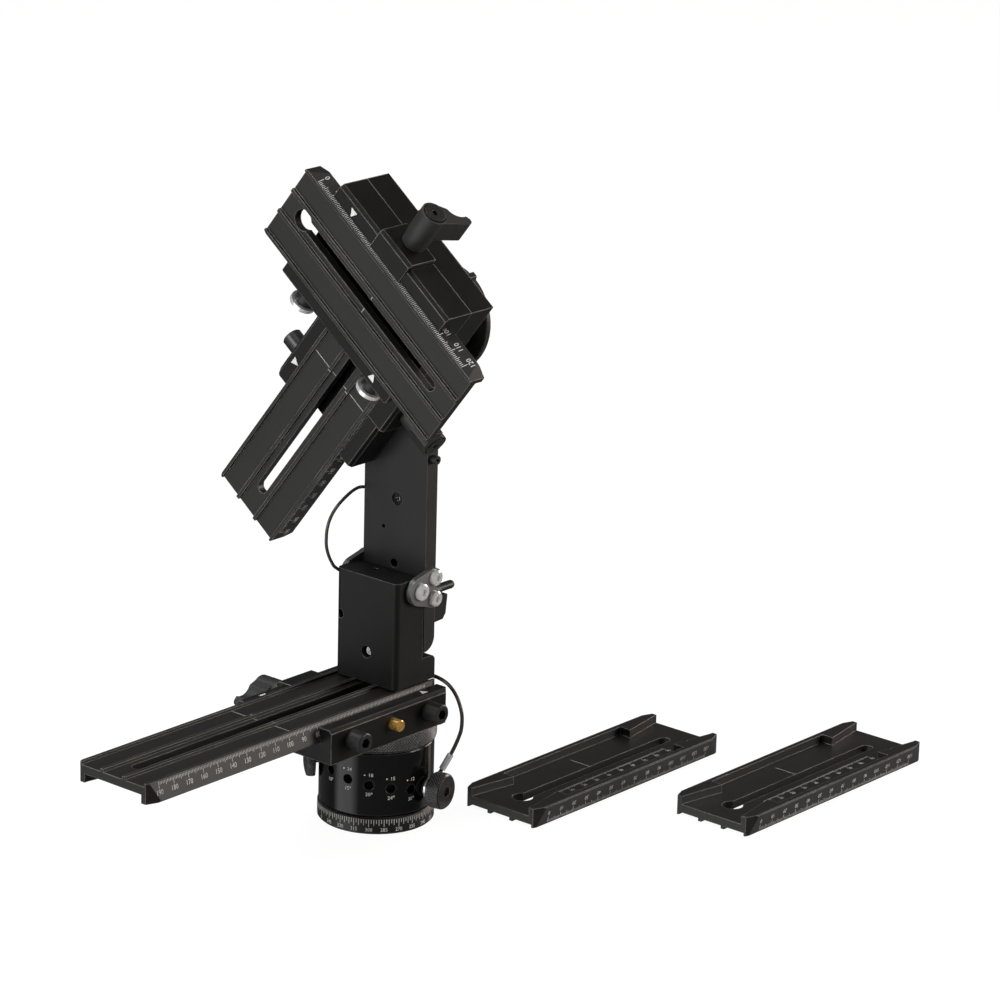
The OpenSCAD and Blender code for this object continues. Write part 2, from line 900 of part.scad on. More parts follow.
module pan_lock_knob() {
    color([0.12, 0.12, 0.13])
        at_drum(lock_dir, lock_z) {
            translate([drum_r + 1.6, 0, 0])
                rotate([0, 90, 0])
                    intersection() {
                        cylinder(h = lock_knob_len, r = lock_knob_r);
                        translate([0, 0, lock_knob_len - dome_r])
                            sphere(r = dome_r);
                    }
            rod_x(detent_r + 0.4, drum_r + 1.6 + e, lock_screw_r);
        }
}
dome_r = 24;

module safety_pin() {
    color([0.8, 0.62, 0.25])
        in_base()
            translate([pin_x, 0, pin_h]) {
                taper_y(-clamp_half_w - pin_out, -clamp_half_w - pin_out + 0.5, pin_r - 0.5, pin_r);
                rod_y(-clamp_half_w - pin_out + 0.5, -clamp_half_w + pin_in, pin_r);
                rod_y(-clamp_half_w + pin_in - e, -clamp_half_w + pin_stem_in, pin_stem_r);
            }
}

module base_jaw() {
    color([0.14, 0.14, 0.15])
        in_base()
            jaw();
}

module base_lever() {
    color([0.3, 0.3, 0.31])
        in_base()
            lever(180 - base_lever_turn);
}

module base_lever_screw() {
    color([0.2, 0.2, 0.21])
        in_base()
            lever_screw();
}

// Lower rail and the fold block on it
lower_x0 = lower_rail_front - rail_len;
slot_room = slot_end + slot_w / 2;
block_bolt_x = (block_front + block_back) / 2;
block_bolt_y = 10.8;

module lower_rail() {
    color([0.16, 0.16, 0.17])
        difference() {
            translate([0, 0, rail_foot_z])
                rail_blank(lower_x0, lower_rail_front, lower_x0 + slot_room,
                           lower_rail_front - slot_room, 0);
            for (s = [-1, 1])
                translate([block_bolt_x, s * block_bolt_y, rail_foot_z])
                    cylinder(h = rail_h + past, r = 2.5 + run);
        }
}

module hinge_block() {
    color([0.17, 0.17, 0.18])
        difference() {
            union() {
                along_y(-block_half, block_half)
                    difference() {
                        union() {
                            translate([block_front, rail_top_z])
                                square([block_depth, block_h - pivot_edge_r]);
                            translate([block_front, rail_top_z])
                                square([block_depth - pivot_edge_r, block_h]);
                            translate([pivot_x, pivot_z])
                                circle(r = pivot_edge_r);
                            translate([block_back - e, rail_top_z])
                                square([step_depth - step_round, step_h]);
                            translate([block_back - e, rail_top_z])
                                square([step_depth, step_h - step_round]);
                            translate([
                                block_back + step_depth - step_round - e,
                                rail_top_z + step_h - step_round
                            ])
                                circle(r = step_round);
                        }
                    }
            }
            // Rounded front corners
            for (s = [-1, 1])
                translate([block_front + corner_r, s * (block_half - corner_r), rail_top_z - past])
                    difference() {
                        translate([-corner_r - past, s > 0 ? 0 : -corner_r - past, 0])
                            cube([corner_r + past, corner_r + past, block_h + 2 * past]);
                        translate([0, 0, -past])
                            cylinder(h = block_h + 4 * past, r = corner_r);
                    }
            // Screw recess low on the front, plain hole near the far edge
            translate([0, -0.4, rail_top_z + 16.1])
                rod_x(block_front - past, block_front + 9, 3.25);
            translate([0, block_half - 2.9, rail_top_z + 32.3])
                rod_x(block_front - past, block_front + 6, 2.3);
            // Pivot screws, set screw, bolts from below
            translate([pivot_x, 0, pivot_z])
                both_edges()
                    rod_y(block_half - pivot_deep - 0.3, block_half + past, pivot_shaft_r + 0.02);
            translate([1.5, 4.5, block_top - 6])
                cylinder(h = 8, r = 1.5);
            for (s = [-1, 1])
                translate([block_bolt_x, s * block_bolt_y, rail_top_z - past])
                    cylinder(h = block_bolt_deep + 0.3 + past, r = 2.52);
        }
}
step_round = 3;
corner_r = 3;
pivot_deep = 9;
pivot_shaft_r = 3;
block_bolt_deep = 10;

module block_screws() {
    color([0.72, 0.72, 0.74]) {
        // Screw in the front recess
        translate([0, -0.4, rail_top_z + 16.1])
            difference() {
                rod_x(block_front + 2.4, block_front + 9, 3.2);
                translate([block_front + 2.4 - past, 0, 0])
                    rotate([0, 90, 0])
                        hex_socket(3, 3 + past);
            }
        // Set screw in the top
        translate([1.5, 4.5, block_top - 6])
            difference() {
                cylinder(h = 5.6, r = 1.48);
                translate([0, 0, 3.6])
                    hex_socket(1.3, 4);
            }
        // Bolts through the rail
        for (s = [-1, 1])
            translate([block_bolt_x, s * block_bolt_y, rail_foot_z])
                difference() {
                    union() {
                        translate([0, 0, flange_h - 3.6])
                            cylinder(h = 3.6, r = 4.4);
                        translate([0, 0, flange_h - e])
                            cylinder(h = rail_h - flange_h + block_bolt_deep, r = 2.5);
                    }
                    translate([0, 0, flange_h - 3.6 - past])
                        hex_socket(4, 2.4 + past);
                }
    }
}

module pivot_screws() {
    color([0.75, 0.75, 0.77])
        translate([pivot_x, 0, pivot_z])
            both_edges() {
                rod_y(block_half - pivot_deep, plate_out + slip + e, pivot_shaft_r);
                screw_head(plate_out + slip, 4.3);
            }
}
plate_in = upright_half;
plate_lobe_r = 4.9;
plate_out = upright_half + plate_t;

// Round head on a face at y, with a socket
module screw_head(y, r) {
    difference() {
        union() {
            rod_y(y, y + 1.7, r);
            taper_y(y + 1.7, y + 2.4, r, r - 0.8);
        }
        translate([0, y + 1, 0])
            rotate([-90, 0, 0])
                hex_socket(r * 0.75, 3);
    }
}

fold_tether_y = 22.6;
fold_tether_bends = [
    [9.9, 23.4, 168.4], [6.4, 23, 168.4], [2.6, 22.7, 167.6], [-1.4, 22.6, 166], [-5.2, 22.6, 164],
    [-8.7, 22.6, 161.6], [-11.7, 22.6, 158.6], [-13.9, 22.6, 155.2], [-15.2, 22.6, 151.3],
    [-15.6, 22.6, 147.3], [-15.4, 22.7, 143.3], [-14.2, 22.9, 139.4], [-12.5, 23.1, 135.9],
    [-10.4, 23.3, 132.7], [-8.6, 23.3, 130.3]
];
fold_shift = [block_front + 9.7, upright_half - 21.2, rail_top_z - 74.4];
fold_tether_path = concat(
    [[upright_mid - 2, upright_half, 168 + fold_shift[2]],
     [upright_mid - 2, upright_half + fold_tether_d, 168 + fold_shift[2]]],
    [for (q = fold_tether_bends) q + fold_shift],
    [[block_front + 3.9, block_half + fold_tether_d, block_top - 3],
     [block_front + 3.9, block_half, block_top - 3]]
);

module fold_tether() {
    color([0.08, 0.08, 0.08])
        cord(fold_tether_path, [0.62, 0.55, -0.56], fold_tether_d);
}

// Upright and everything fixed to it
module upright() {
    color([0.17, 0.17, 0.18])
        difference() {
            intersection() {
                along_x(upright_x, upright_back) {
                    translate([-upright_half, upright_low])
                        square([2 * upright_half, tilt_z - upright_low]);
                    translate([0, tilt_z])
                        circle(r = upright_half);
                }
                along_y(-upright_half - past, upright_half + past) {
                    translate([upright_x - past, upright_low])
                        square([upright_t + past - foot_round, tilt_z]);
                    translate([upright_x - past, upright_low + foot_round])
                        square([upright_t + 2 * past, tilt_z]);
                    translate([upright_back - foot_round, upright_low + foot_round])
                        circle(r = foot_round);
                }
            }
            // Seat and bore of the tilt spindle
            translate([0, 0, tilt_z]) {
                rod_x(upright_x - past, tilt_face + flange_t + 0.3, flange_r + 0.3);
                rod_x(upright_x - past, upright_back + past, tilt_bush_r + 0.02);
            }
            // Screw recess and two plain holes in the front
            translate([0, -1.1, rail_top_z + 93])
                rod_x(upright_x - past, upright_x + 4, 3.5);
            translate([0, 7.8, rail_top_z + 76.6])
                rod_x(upright_x - past, upright_x + 4, 1.2);
            translate([0, 0.1, rail_top_z + 58.6])
                rod_x(upright_x - past, upright_x + 5, 2.4);
            // Holes in the edges
            both_edges()
                for (p = plate_screw_at)
                    translate([p[0], 0, p[1]])
                        rod_y(upright_half - 9.3, upright_half + past, 2.02);
            for (z = edge_screw_z)
                translate([upright_mid, 0, z])
                    rod_y(-upright_half - past, -upright_half + 6.3, 1.52);
            // Bore of the latch rod
            translate([0, latch_y, latch_z])
                rod_x(upright_back - latch_rod_in - 0.2, upright_back + past, latch_rod_r + 0.02);
            // Tapped holes for the housing
            for (p = housing_screw_at)
                translate([0, p[0], tilt_z + p[1]])
                    rod_x(tilt_face + flange_t + 0.8, upright_back + past, 1.52);
        }
}
foot_round = 7.5;
plate_screw_at = [[upright_mid, pivot_z + 5.2], [upright_mid, pivot_z - 5.9]];
edge_screw_z = [rail_top_z + 117.6, rail_top_z + 125.8];
latch_y = -16;
latch_z = pivot_z - 5.5;
latch_rod_r = 2.25;
latch_rod_in = 1.5;
housing_screw_at = [[13.5, 0], [-13.5, 0], [0, 13.5], [0, -13.5]];

module both_edges() {
    for (s = [0, 1])
        mirror([0, s, 0])
            children();
}

module hinge_plates() {
    pivot = [pivot_x, pivot_z];
    top = plate_screw_at[0];
    low = plate_screw_at[1];
    color([0.75, 0.75, 0.76])
        both_edges()
            difference() {
                along_y(plate_in, plate_out) {
                    link(pivot, plate_pivot_r, top, plate_lobe_r);
                    link(pivot, plate_pivot_r, low, plate_lobe_r);
                    polygon([pivot, top, low]);
                }
                translate([pivot_x, 0, pivot_z])
                    rod_y(plate_in - past, plate_out + past, pivot_shaft_r + run);
                for (p = plate_screw_at)
                    translate([p[0], 0, p[1]])
                        rod_y(plate_in - past, plate_out + past, 2.02);
            }
}

module plate_screws() {
    color([0.72, 0.72, 0.74])
        both_edges()
            for (p = plate_screw_at)
                translate([p[0], 0, p[1]]) {
                    rod_y(upright_half - 9, plate_out + e, 2);
                    screw_head(plate_out, plate_head_r);
                }
}

plate_head_r = 4;

module upright_screw() {
    color([0.75, 0.75, 0.77])
        translate([0, -1.1, rail_top_z + 93])
            difference() {
                rod_x(upright_x + 0.6, upright_x + 4, 3.4);
                translate([upright_x + 0.6 - past, 0, 0])
                    rotate([0, 90, 0])
                        hex_socket(3, 2.2 + past);
            }
}

// Screws in the edge and through the tilt housing
module upright_fasteners() {
    color([0.2, 0.2, 0.21])
        translate([0, 0, tilt_z])
            for (p = housing_screw_at)
                translate([0, p[0], p[1]])
                    difference() {
                        union() {
                            rod_x(housing_back - 5, housing_back - 2, 2.8);
                            rod_x(tilt_face + flange_t + 1, housing_back - 5 + e, 1.5);
                        }
                        translate([housing_back - 3.6, 0, 0])
                            rotate([0, 90, 0])
                                hex_socket(2.5, 3);
                    }
    color([0.2, 0.2, 0.21])
        for (z = edge_screw_z)
            translate([upright_mid, 0, z])
                difference() {
                    union() {
                        rod_y(-upright_half - 3.3, -upright_half, 2.3);
                        rod_y(-upright_half - e, -upright_half + 6, 1.5);
                    }
                    translate([0, -upright_half - 3.3 - past, 0])
                        rotate([-90, 0, 0])
                            hex_socket(2, 1.6 + past);
                }
}

module tilt_housing() {
    color([0.15, 0.15, 0.16])
        translate([0, 0, tilt_z])
            difference() {
                union() {
                    rod_x(upright_back, housing_back - 1, housing_r);
                    translate([housing_back - 1 - e, 0, 0])
                        rotate([0, 90, 0])
                            cylinder(h = 1 + e, r1 = housing_r, r2 = housing_r - 1);
                }
                rod_x(upright_back - past, housing_back + past, tilt_bush_r + 0.02);
                for (p = housing_screw_at)
                    translate([0, p[0], p[1]]) {
                        rod_x(upright_back - past, housing_back + past, 1.7);
                        rod_x(housing_back - 5, housing_back + past, 3);
                    }
            }
}

module tilt_bush() {
    color([0.75, 0.6, 0.35])
        translate([0, 0, tilt_z])
            difference() {
                rod_x(tilt_face + flange_t + 0.6, housing_back, tilt_bush_r);
                rod_x(tilt_face, housing_back + past, tilt_shaft_r + run);
            }
}
flange_t = 3.4;
flange_r = 18;
tilt_bush_r = 9.2;
tilt_shaft_r = 7;
tilt_end_r = 5;

module latch_rod() {
    color([0.65, 0.65, 0.67])
        translate([0, latch_y, latch_z]) {
            rod_x(upright_back - latch_rod_in, latch_tip - latch_rod_r, latch_rod_r);
            translate([latch_tip - latch_rod_r, 0, 0])
                sphere(r = latch_rod_r);
        }
}
latch_tip = upright_back + 19.6;

// Paddle that turns on the latch rod
module latch_paddle() {
    x0 = upright_back + 1.3;
    color([0.2, 0.2, 0.21])
        translate([0, latch_y, latch_z])
            difference() {
                union() {
                    rod_x(x0, x0 + 5, latch_rod_r + 2.1);
                    along_y(-3.5, 3.5)
                        polygon([
                            [x0, 0],
                            [x0 + 5, 0],
                            [x0 + 5, -2.7],
                            [x0 + 10.2, -2.9],
                            [x0 + 10, -5],
                            [x0 + 9, -13],
                            [x0 + 6.9, -15.6],
                            [x0, -16]
                        ]);
                }
                rod_x(x0 - past, x0 + 12, latch_rod_r + run);
            }
}

// Tilt body: the clamp that turns on the upright
tilt_screw = 9;
tilt_screw_deep = 3;
tilt_screw_points = [for (x = [-1, 1]) for (y = [-1, 1]) [x * tilt_screw - tilt_clamp_drop, y * tilt_screw]];

module tilt_clamp() {
    color([0.14, 0.14, 0.15])
        in_tilt_clamp()
            difference() {
                clamp_body();
                floor_holes(tilt_screw_points);
            }
}

module tilt_spindle() {
    color([0.6, 0.6, 0.62])
        difference() {
            translate([0, 0, tilt_z]) {
                rod_x(tilt_face, tilt_face + flange_t, flange_r);
                rod_x(tilt_face + flange_t - e, housing_back + 0.2, tilt_shaft_r);
                rod_x(housing_back + 0.2 - e, disc_x + disc_t + 5, tilt_end_r);
            }
            in_tilt_clamp()
                for (p = tilt_screw_points)
                    translate([p[0], p[1], -flange_t - past])
                        cylinder(h = flange_t + 2 * past, r = floor_screw_r + 0.02);
        }
}

module tilt_disc() {
    color([0.2, 0.2, 0.21])
        translate([disc_x, 0, tilt_z])
            rotate([0, 90, 0])
                rotate_extrude()
                    polygon([
                        [tilt_end_r + 0.02, 0],
                        [disc_r - 0.5, 0],
                        [disc_r, 0.5],
                        [disc_r, disc_t - 0.5],
                        [disc_r - 0.5, disc_t],
                        [tilt_end_r + 0.02, disc_t]
                    ]);
}

// Nut behind the disc and the screws through the clamp's floor
module tilt_fasteners() {
    color([0.65, 0.65, 0.67])
        in_tilt_clamp()
            floor_screws(tilt_screw_points, tilt_screw_deep);
    color([0.65, 0.65, 0.67])
        translate([disc_x + disc_t, 0, tilt_z])
            rotate([0, 90, 0])
                difference() {
                    cylinder(h = 4, r = 8, $fn = 6);
                    translate([0, 0, -past])
                        cylinder(h = 6, r = tilt_end_r + 0.02);
                }
}

module tilt_bosses() {
    color([0.12, 0.12, 0.13])
        in_tilt_clamp()
            side_bosses(0);
}

module tilt_jaw() {
    color([0.14, 0.14, 0.15])
        in_tilt_clamp()
            jaw();
}

module tilt_lever() {
    color([0.3, 0.3, 0.31])
        in_tilt_clamp()
            lever(tilt_lever_turn + 90);
}

module tilt_lever_screw() {
    color([0.2, 0.2, 0.21])
        in_tilt_clamp()
            lever_screw();
}

// Middle rail with the cross clamp on a plate
middle_x0 = -middle_above;

module middle_rail() {
    color([0.16, 0.16, 0.17])
        in_middle()
            translate([0, 0, -middle_foot])
                rail_blank(middle_x0, middle_x0 + rail_len, middle_x0 + slot_room,
                           middle_x0 + rail_len - slot_room, 0);
}

cross_screw_points = [[0, -15], [0, -1]];
slot_nut_t = 3.4;

module cross_plate() {
    color([0.18, 0.18, 0.19])
        in_camera()
            difference() {
                translate([-clamp_len / 2, cross_rise - clamp_half_w, -middle_face])
                    cube([clamp_len, 2 * clamp_half_w, cross_plate_t]);
                for (p = cross_screw_points)
                    translate([p[0], cross_rise + p[1], -middle_face - past])
                        cylinder(h = cross_plate_t + 2 * past, r = floor_screw_r + slip);
            }
}

module cross_clamp() {
    color([0.14, 0.14, 0.15])
        in_cross_clamp()
            difference() {
                clamp_body();
                floor_holes(cross_screw_points);
            }
}

module cross_clamp_screws() {
    color([0.3, 0.3, 0.32])
        in_cross_clamp()
            floor_screws(cross_screw_points, cross_plate_t + rail_h - 1);
}

module slot_nut() {
    color([0.6, 0.6, 0.62])
        in_cross_clamp()
            translate([0, 0, -cross_plate_t - rail_h + flange_h - slot_nut_t])
                difference() {
                    translate([-6, -21, 0])
                        cube([12, 26, slot_nut_t]);
                    for (p = cross_screw_points)
                        translate([p[0], p[1], -past])
                            cylinder(h = slot_nut_t + 2 * past, r = floor_screw_r + 0.02);
                }
}

module cross_bosses() {
    color([0.12, 0.12, 0.13])
        in_cross_clamp()
            side_bosses(0);
}
boss_ring_t = 2.2;
boss_ring_r = boss_r + 1.7;
boss_end = 0.7 - clamp_half_w - boss_len;

module boss_rings() {
    color([0.78, 0.78, 0.8])
        in_cross_clamp()
            for (s = [-1, 1])
                translate([s * boss_x, 0, boss_h])
                    difference() {
                        rod_y(boss_end, boss_end + boss_ring_t, boss_ring_r);
                        rod_y(boss_end - past, boss_end + boss_ring_t + past, boss_r + 0.02);
                    }
}

module cross_jaw() {
    color([0.14, 0.14, 0.15])
        in_cross_clamp()
            jaw();
}

module cross_lever() {
    color([0.3, 0.3, 0.31])
        in_cross_clamp()
            lever(cross_lever_turn - 180);
}

module cross_lever_screw() {
    color([0.2, 0.2, 0.21])
        in_cross_clamp()
            lever_screw();
}

// Camera rail with its keyhole slot
module camera_rail() {
    color([0.16, 0.16, 0.17])
        in_camera()
            translate([camera_offset, cross_rise, -camera_foot])
                rail_blank(-camera_rail_len / 2, camera_rail_len / 2, -camera_rail_len / 2 + 14,
                           camera_rail_len / 2 - slot_room + 0.5, key_r);
}
key_r = 5.5;

// Two more rails lying face down beside the head
module spare_rail(x, y) {
    color([0.16, 0.16, 0.17])
        translate([x, y, rail_h])
            rotate([180, 0, 0])
                difference() {
                    rail_blank(-spare_len / 2, spare_len / 2, -spare_len / 2 + 18, spare_len / 2 - slot_room,
                               key_r);
                    translate([spare_len / 2 - 20, 16.5, -past])
                        cylinder(h = rail_h + 2 * past, r = 1.2);
                }
}

module spare_rail_a() {
    spare_rail(spare_a_at[0], spare_a_at[1]);
}

module spare_rail_b() {
    spare_rail(spare_b_at[0], spare_b_at[1]);
}
spare_a_at = [116.5, -49.5];
spare_b_at = [184, -134.5];

base_ring();
tripod_bush();
spindle();
index_rings();
lower_washer();
upper_washer();
spindle_nut();
index_drum();
drum_bush();
index_neck();
top_ring();
base_clamp();
base_clamp_screws();
base_bosses();
index_tether();
tether_sleeve();
tether_eyelet();
tether_anchor();
index_knob();
index_pin();
pan_lock_knob();
safety_pin();
base_jaw();
base_lever();
base_lever_screw();
lower_rail();
hinge_block();
block_screws();
pivot_screws();
fold_tether();
upright();
hinge_plates();
plate_screws();
upright_screw();
upright_fasteners();
tilt_housing();
tilt_bush();
latch_rod();
latch_paddle();
tilt_clamp();
tilt_spindle();
tilt_disc();
tilt_fasteners();
tilt_bosses();
tilt_jaw();
tilt_lever();
tilt_lever_screw();
middle_rail();
cross_plate();
cross_clamp();
cross_clamp_screws();
slot_nut();
cross_bosses();
boss_rings();
cross_jaw();
cross_lever();
cross_lever_screw();
camera_rail();
spare_rail_a();
spare_rail_b();
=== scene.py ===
import json
import math

import bpy
from mathutils import Matrix, Vector


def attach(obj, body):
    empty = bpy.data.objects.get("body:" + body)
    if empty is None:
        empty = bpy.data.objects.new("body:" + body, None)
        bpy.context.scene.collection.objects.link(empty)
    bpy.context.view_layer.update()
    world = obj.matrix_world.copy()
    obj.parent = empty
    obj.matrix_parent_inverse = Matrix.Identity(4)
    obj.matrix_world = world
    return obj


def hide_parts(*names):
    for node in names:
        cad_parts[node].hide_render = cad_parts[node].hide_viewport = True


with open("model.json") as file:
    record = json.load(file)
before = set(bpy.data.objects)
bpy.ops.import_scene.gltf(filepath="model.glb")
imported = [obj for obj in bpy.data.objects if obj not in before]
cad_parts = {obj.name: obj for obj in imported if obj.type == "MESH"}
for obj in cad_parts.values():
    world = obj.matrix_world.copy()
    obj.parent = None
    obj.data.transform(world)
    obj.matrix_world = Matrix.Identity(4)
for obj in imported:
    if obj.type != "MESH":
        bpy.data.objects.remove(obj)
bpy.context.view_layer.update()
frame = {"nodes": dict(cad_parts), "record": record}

MM = 0.001
AXIS_X = Vector((1, 0, 0))
AXIS_Y = Vector((0, 1, 0))
AXIS_Z = Vector((0, 0, 1))


def add_object(name, data):
    obj = bpy.data.objects.new(name, data)
    bpy.context.scene.collection.objects.link(obj)
    return obj


# ---------------------------------------------------------------- camera
# Solved from the printed rules of two rails. FOCAL_PX is for a picture of PHOTO_PX a side.
PHOTO_PX = 1000
SENSOR_MM = 36
FOCAL_PX = 4319.3
CAMERA_AT = Vector((-1537.9, -1386.6, 827.8)) * MM
YAW, PITCH, ROLL = math.radians(-49.618), math.radians(17.614), math.radians(1.5)


def make_camera():
    data = bpy.data.cameras.new("camera")
    data.sensor_width = SENSOR_MM
    data.lens = FOCAL_PX * SENSOR_MM / PHOTO_PX
    data.clip_start = 0.1
    data.clip_end = 50
    cam = add_object("camera", data)
    back = Vector((
        math.sin(YAW) * math.cos(PITCH),
        -math.cos(YAW) * math.cos(PITCH),
        math.sin(PITCH),
    ))
    level = Vector((math.cos(YAW), math.sin(YAW), 0))
    up = back.cross(level)
    rolled_right = math.cos(ROLL) * level + math.sin(ROLL) * up
    rolled_up = -math.sin(ROLL) * level + math.cos(ROLL) * up
    turn = Matrix((rolled_right, rolled_up, back)).transposed().to_4x4()
    cam.matrix_world = Matrix.Translation(CAMERA_AT) @ turn
    bpy.context.scene.camera = cam


make_camera()

# ---------------------------------------------------------------- cords (mm)
SPLINE_STEPS = 4


def smooth_path(points):
    """Catmull-Rom curve through the points."""
    out = []
    last = len(points) - 1
    for i in range(last):
        p0 = points[max(i - 1, 0)]
        p1, p2 = points[i], points[i + 1]
        p3 = points[min(i + 2, last)]
        for k in range(SPLINE_STEPS):
            t = k / SPLINE_STEPS
            out.append(0.5 * (
                (2 * p1) + (p2 - p0) * t
                + (2 * p0 - 5 * p1 + 4 * p2 - p3) * t * t
                + (3 * p1 - p0 - 3 * p2 + p3) * t ** 3
            ))
    out.append(points[-1])
    return out


def make_cord(name, points_mm, diameter_mm, body, node, material):
    pts = smooth_path([Vector(p) * MM for p in points_mm])
    data = bpy.data.curves.new(name, "CURVE")
    data.dimensions = "3D"
    data.bevel_depth = diameter_mm * MM / 2
    data.bevel_resolution = 4
    data.use_fill_caps = True
    spline = data.splines.new("POLY")
    spline.points.add(len(pts) - 1)
    for point, p in zip(spline.points, pts):
        point.co = (p.x, p.y, p.z, 1)
    data.materials.append(material)
    obj = add_object(name, data)
    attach(obj, body)
    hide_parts(node)


# The index tether leaves the index knob's eyelet through its sleeve, along PULL
EYELET = Vector((6.106, -31.412, 20.6))
PULL = Vector((0.835, 0.162, 0.53)).normalized()
INDEX_TETHER_THICK = 2.0
INDEX_TETHER = [
    EYELET + PULL * 5.4, EYELET + PULL * 7.4,
    (14, -30.4, 26.2), (15.2, -31, 27.7), (18, -32, 32.3), (20.4, -33, 36.1), (21.9, -34, 39.8),
    (22.8, -35.5, 44.4), (24, -36, 48), (24.2, -36.4, 51.8), (24.3, -36.2, 56.6),
    (24.1, -34.9, 61.6), (24, -32.4, 66.2), (23.8, -28.9, 69.9), (23.4, -24.9, 72.2),
    (23, -20.5, 73.4), (22.8, -15.6, 73.6), (22.8, -10.6, 73.2), (22.9, -5.8, 72.1),
    (23.1, -1.3, 70.2), (23.4, 2.8, 67.5), (23.7, 6, 63.8), (22.5, 8, 59), (20.5, 8, 59),
]
FOLD_TETHER_THICK = 1.7
FOLD_TETHER = [
    (12.8, 21.2, 168), (12.8, 22.9, 168),
    (9.9, 23.4, 168.4), (6.4, 23, 168.4), (2.6, 22.7, 167.6), (-1.4, 22.6, 166), (-5.2, 22.6, 164),
    (-8.7, 22.6, 161.6), (-11.7, 22.6, 158.6), (-13.9, 22.6, 155.2), (-15.2, 22.6, 151.3),
    (-15.6, 22.6, 147.3), (-15.4, 22.7, 143.3), (-14.2, 22.9, 139.4), (-12.5, 23.1, 135.9),
    (-10.4, 23.3, 132.7), (-8.6, 23.3, 130.3), (-5.8, 22.5, 128), (-5.8, 20.8, 128),
]


# ---------------------------------------------------------------- materials (metres)
class Nodes:
    """A material's node tree, with short ways to add nodes and link them."""

    def __init__(self, name):
        self.mat = bpy.data.materials.new(name)
        self.mat.use_nodes = True
        self.tree = self.mat.node_tree
        self.tree.nodes.clear()

    def add(self, kind, **values):
        """New node. Each value is a property of it, or else an input's, with _ for a space."""
        node = self.tree.nodes.new(kind)
        for key, value in values.items():
            if key in node.bl_rna.properties:
                setattr(node, key, value)
            else:
                node.inputs[key.replace("_", " ")].default_value = value
        return node

    def link(self, a, b):
        self.tree.links.new(a, b)

    def ramp(self, source, stops):
        """Colour ramp over source. stops are (position, grey level or colour)."""
        node = self.add("ShaderNodeValToRGB")
        e = node.color_ramp.elements
        e[0].position, e[1].position = stops[0][0], stops[-1][0]
        for pos, _ in stops[1:-1]:
            e.new(pos)
        for elem, (_, value) in zip(e, stops):
            colour = tuple(value) if hasattr(value, "__len__") else (value, value, value)
            elem.color = colour + (1,)
        self.link(source, node.inputs["Fac"])
        return node.outputs["Color"]

    def blend(self, factor, a, colour):
        """Mixes the socket a with a fixed colour."""
        node = self.add("ShaderNodeMix", data_type="RGBA")
        self.link(factor, node.inputs["Factor"])
        self.link(a, node.inputs["A"])
        node.inputs["B"].default_value = tuple(colour) + (1,)
        return node.outputs["Result"]

    def switch(self, factor, a, b):
        """Mixes two shaders."""
        node = self.add("ShaderNodeMixShader")
        self.link(factor, node.inputs["Fac"])
        self.link(a, node.inputs[1])
        self.link(b, node.inputs[2])
        return node.outputs["Shader"]


def grey(v, warm=0.0):
    return (v * (1 + warm), v, v * (1 - warm))


COAT_ROUGH = 0.06
WIDE_NOISE = 38.0
GRAIN_STRENGTH = 0.35
# Round the lit core of a recessed screw the head is painted dark as the hole's shade: its tone,
# and where the core's edge fades
SOCKET_PAINTED_SHADE = grey(0.004)
SOCKET_FADE = (-0.0002, 0.0001)


def paint_socket_shade(n, place, tone, core):
    """Darkens tone outside core as painted shade of the hole, core being the (centre, radius) of
    what catches light in a screw's head.
    The screw's axis is along X."""
    centre, radius = core
    across = n.add("ShaderNodeVectorMath", operation="MULTIPLY")
    across.inputs[1].default_value = (0, 1, 1)
    n.link(place, across.inputs[0])
    away = n.add("ShaderNodeVectorMath", operation="DISTANCE")
    away.inputs[1].default_value = (0, centre.y, centre.z)
    n.link(across.outputs["Vector"], away.inputs[0])
    fade = n.add("ShaderNodeMapRange", From_Min=radius + SOCKET_FADE[0],
                 From_Max=radius + SOCKET_FADE[1])
    n.link(away.outputs["Value"], fade.inputs["Value"])
    return n.blend(fade.outputs["Result"], tone, SOCKET_PAINTED_SHADE)


def rubbed_and_lit_edges(n, wide, edge_r):
    """Mask of lighter edges, partly metal rubbed bare and partly painted highlight: uneven lines
    on edges, from the bevel's normal.
    """
    bevel = n.add("ShaderNodeBevel", Radius=edge_r)
    geo = n.add("ShaderNodeNewGeometry")
    dot = n.add("ShaderNodeVectorMath", operation="DOT_PRODUCT")
    n.link(bevel.outputs["Normal"], dot.inputs[0])
    n.link(geo.outputs["Normal"], dot.inputs[1])
    rubbed_and_lit_mask = n.ramp(dot.outputs["Value"], [(0.80, 1.0), (0.985, 0.0)])
    mottle = n.ramp(wide, [(0.35, 0.35), (0.65, 1.0)])
    both = n.add("ShaderNodeMath", operation="MULTIPLY")
    n.link(rubbed_and_lit_mask, both.inputs[0])
    n.link(mottle, both.inputs[1])
    return both.outputs["Value"]


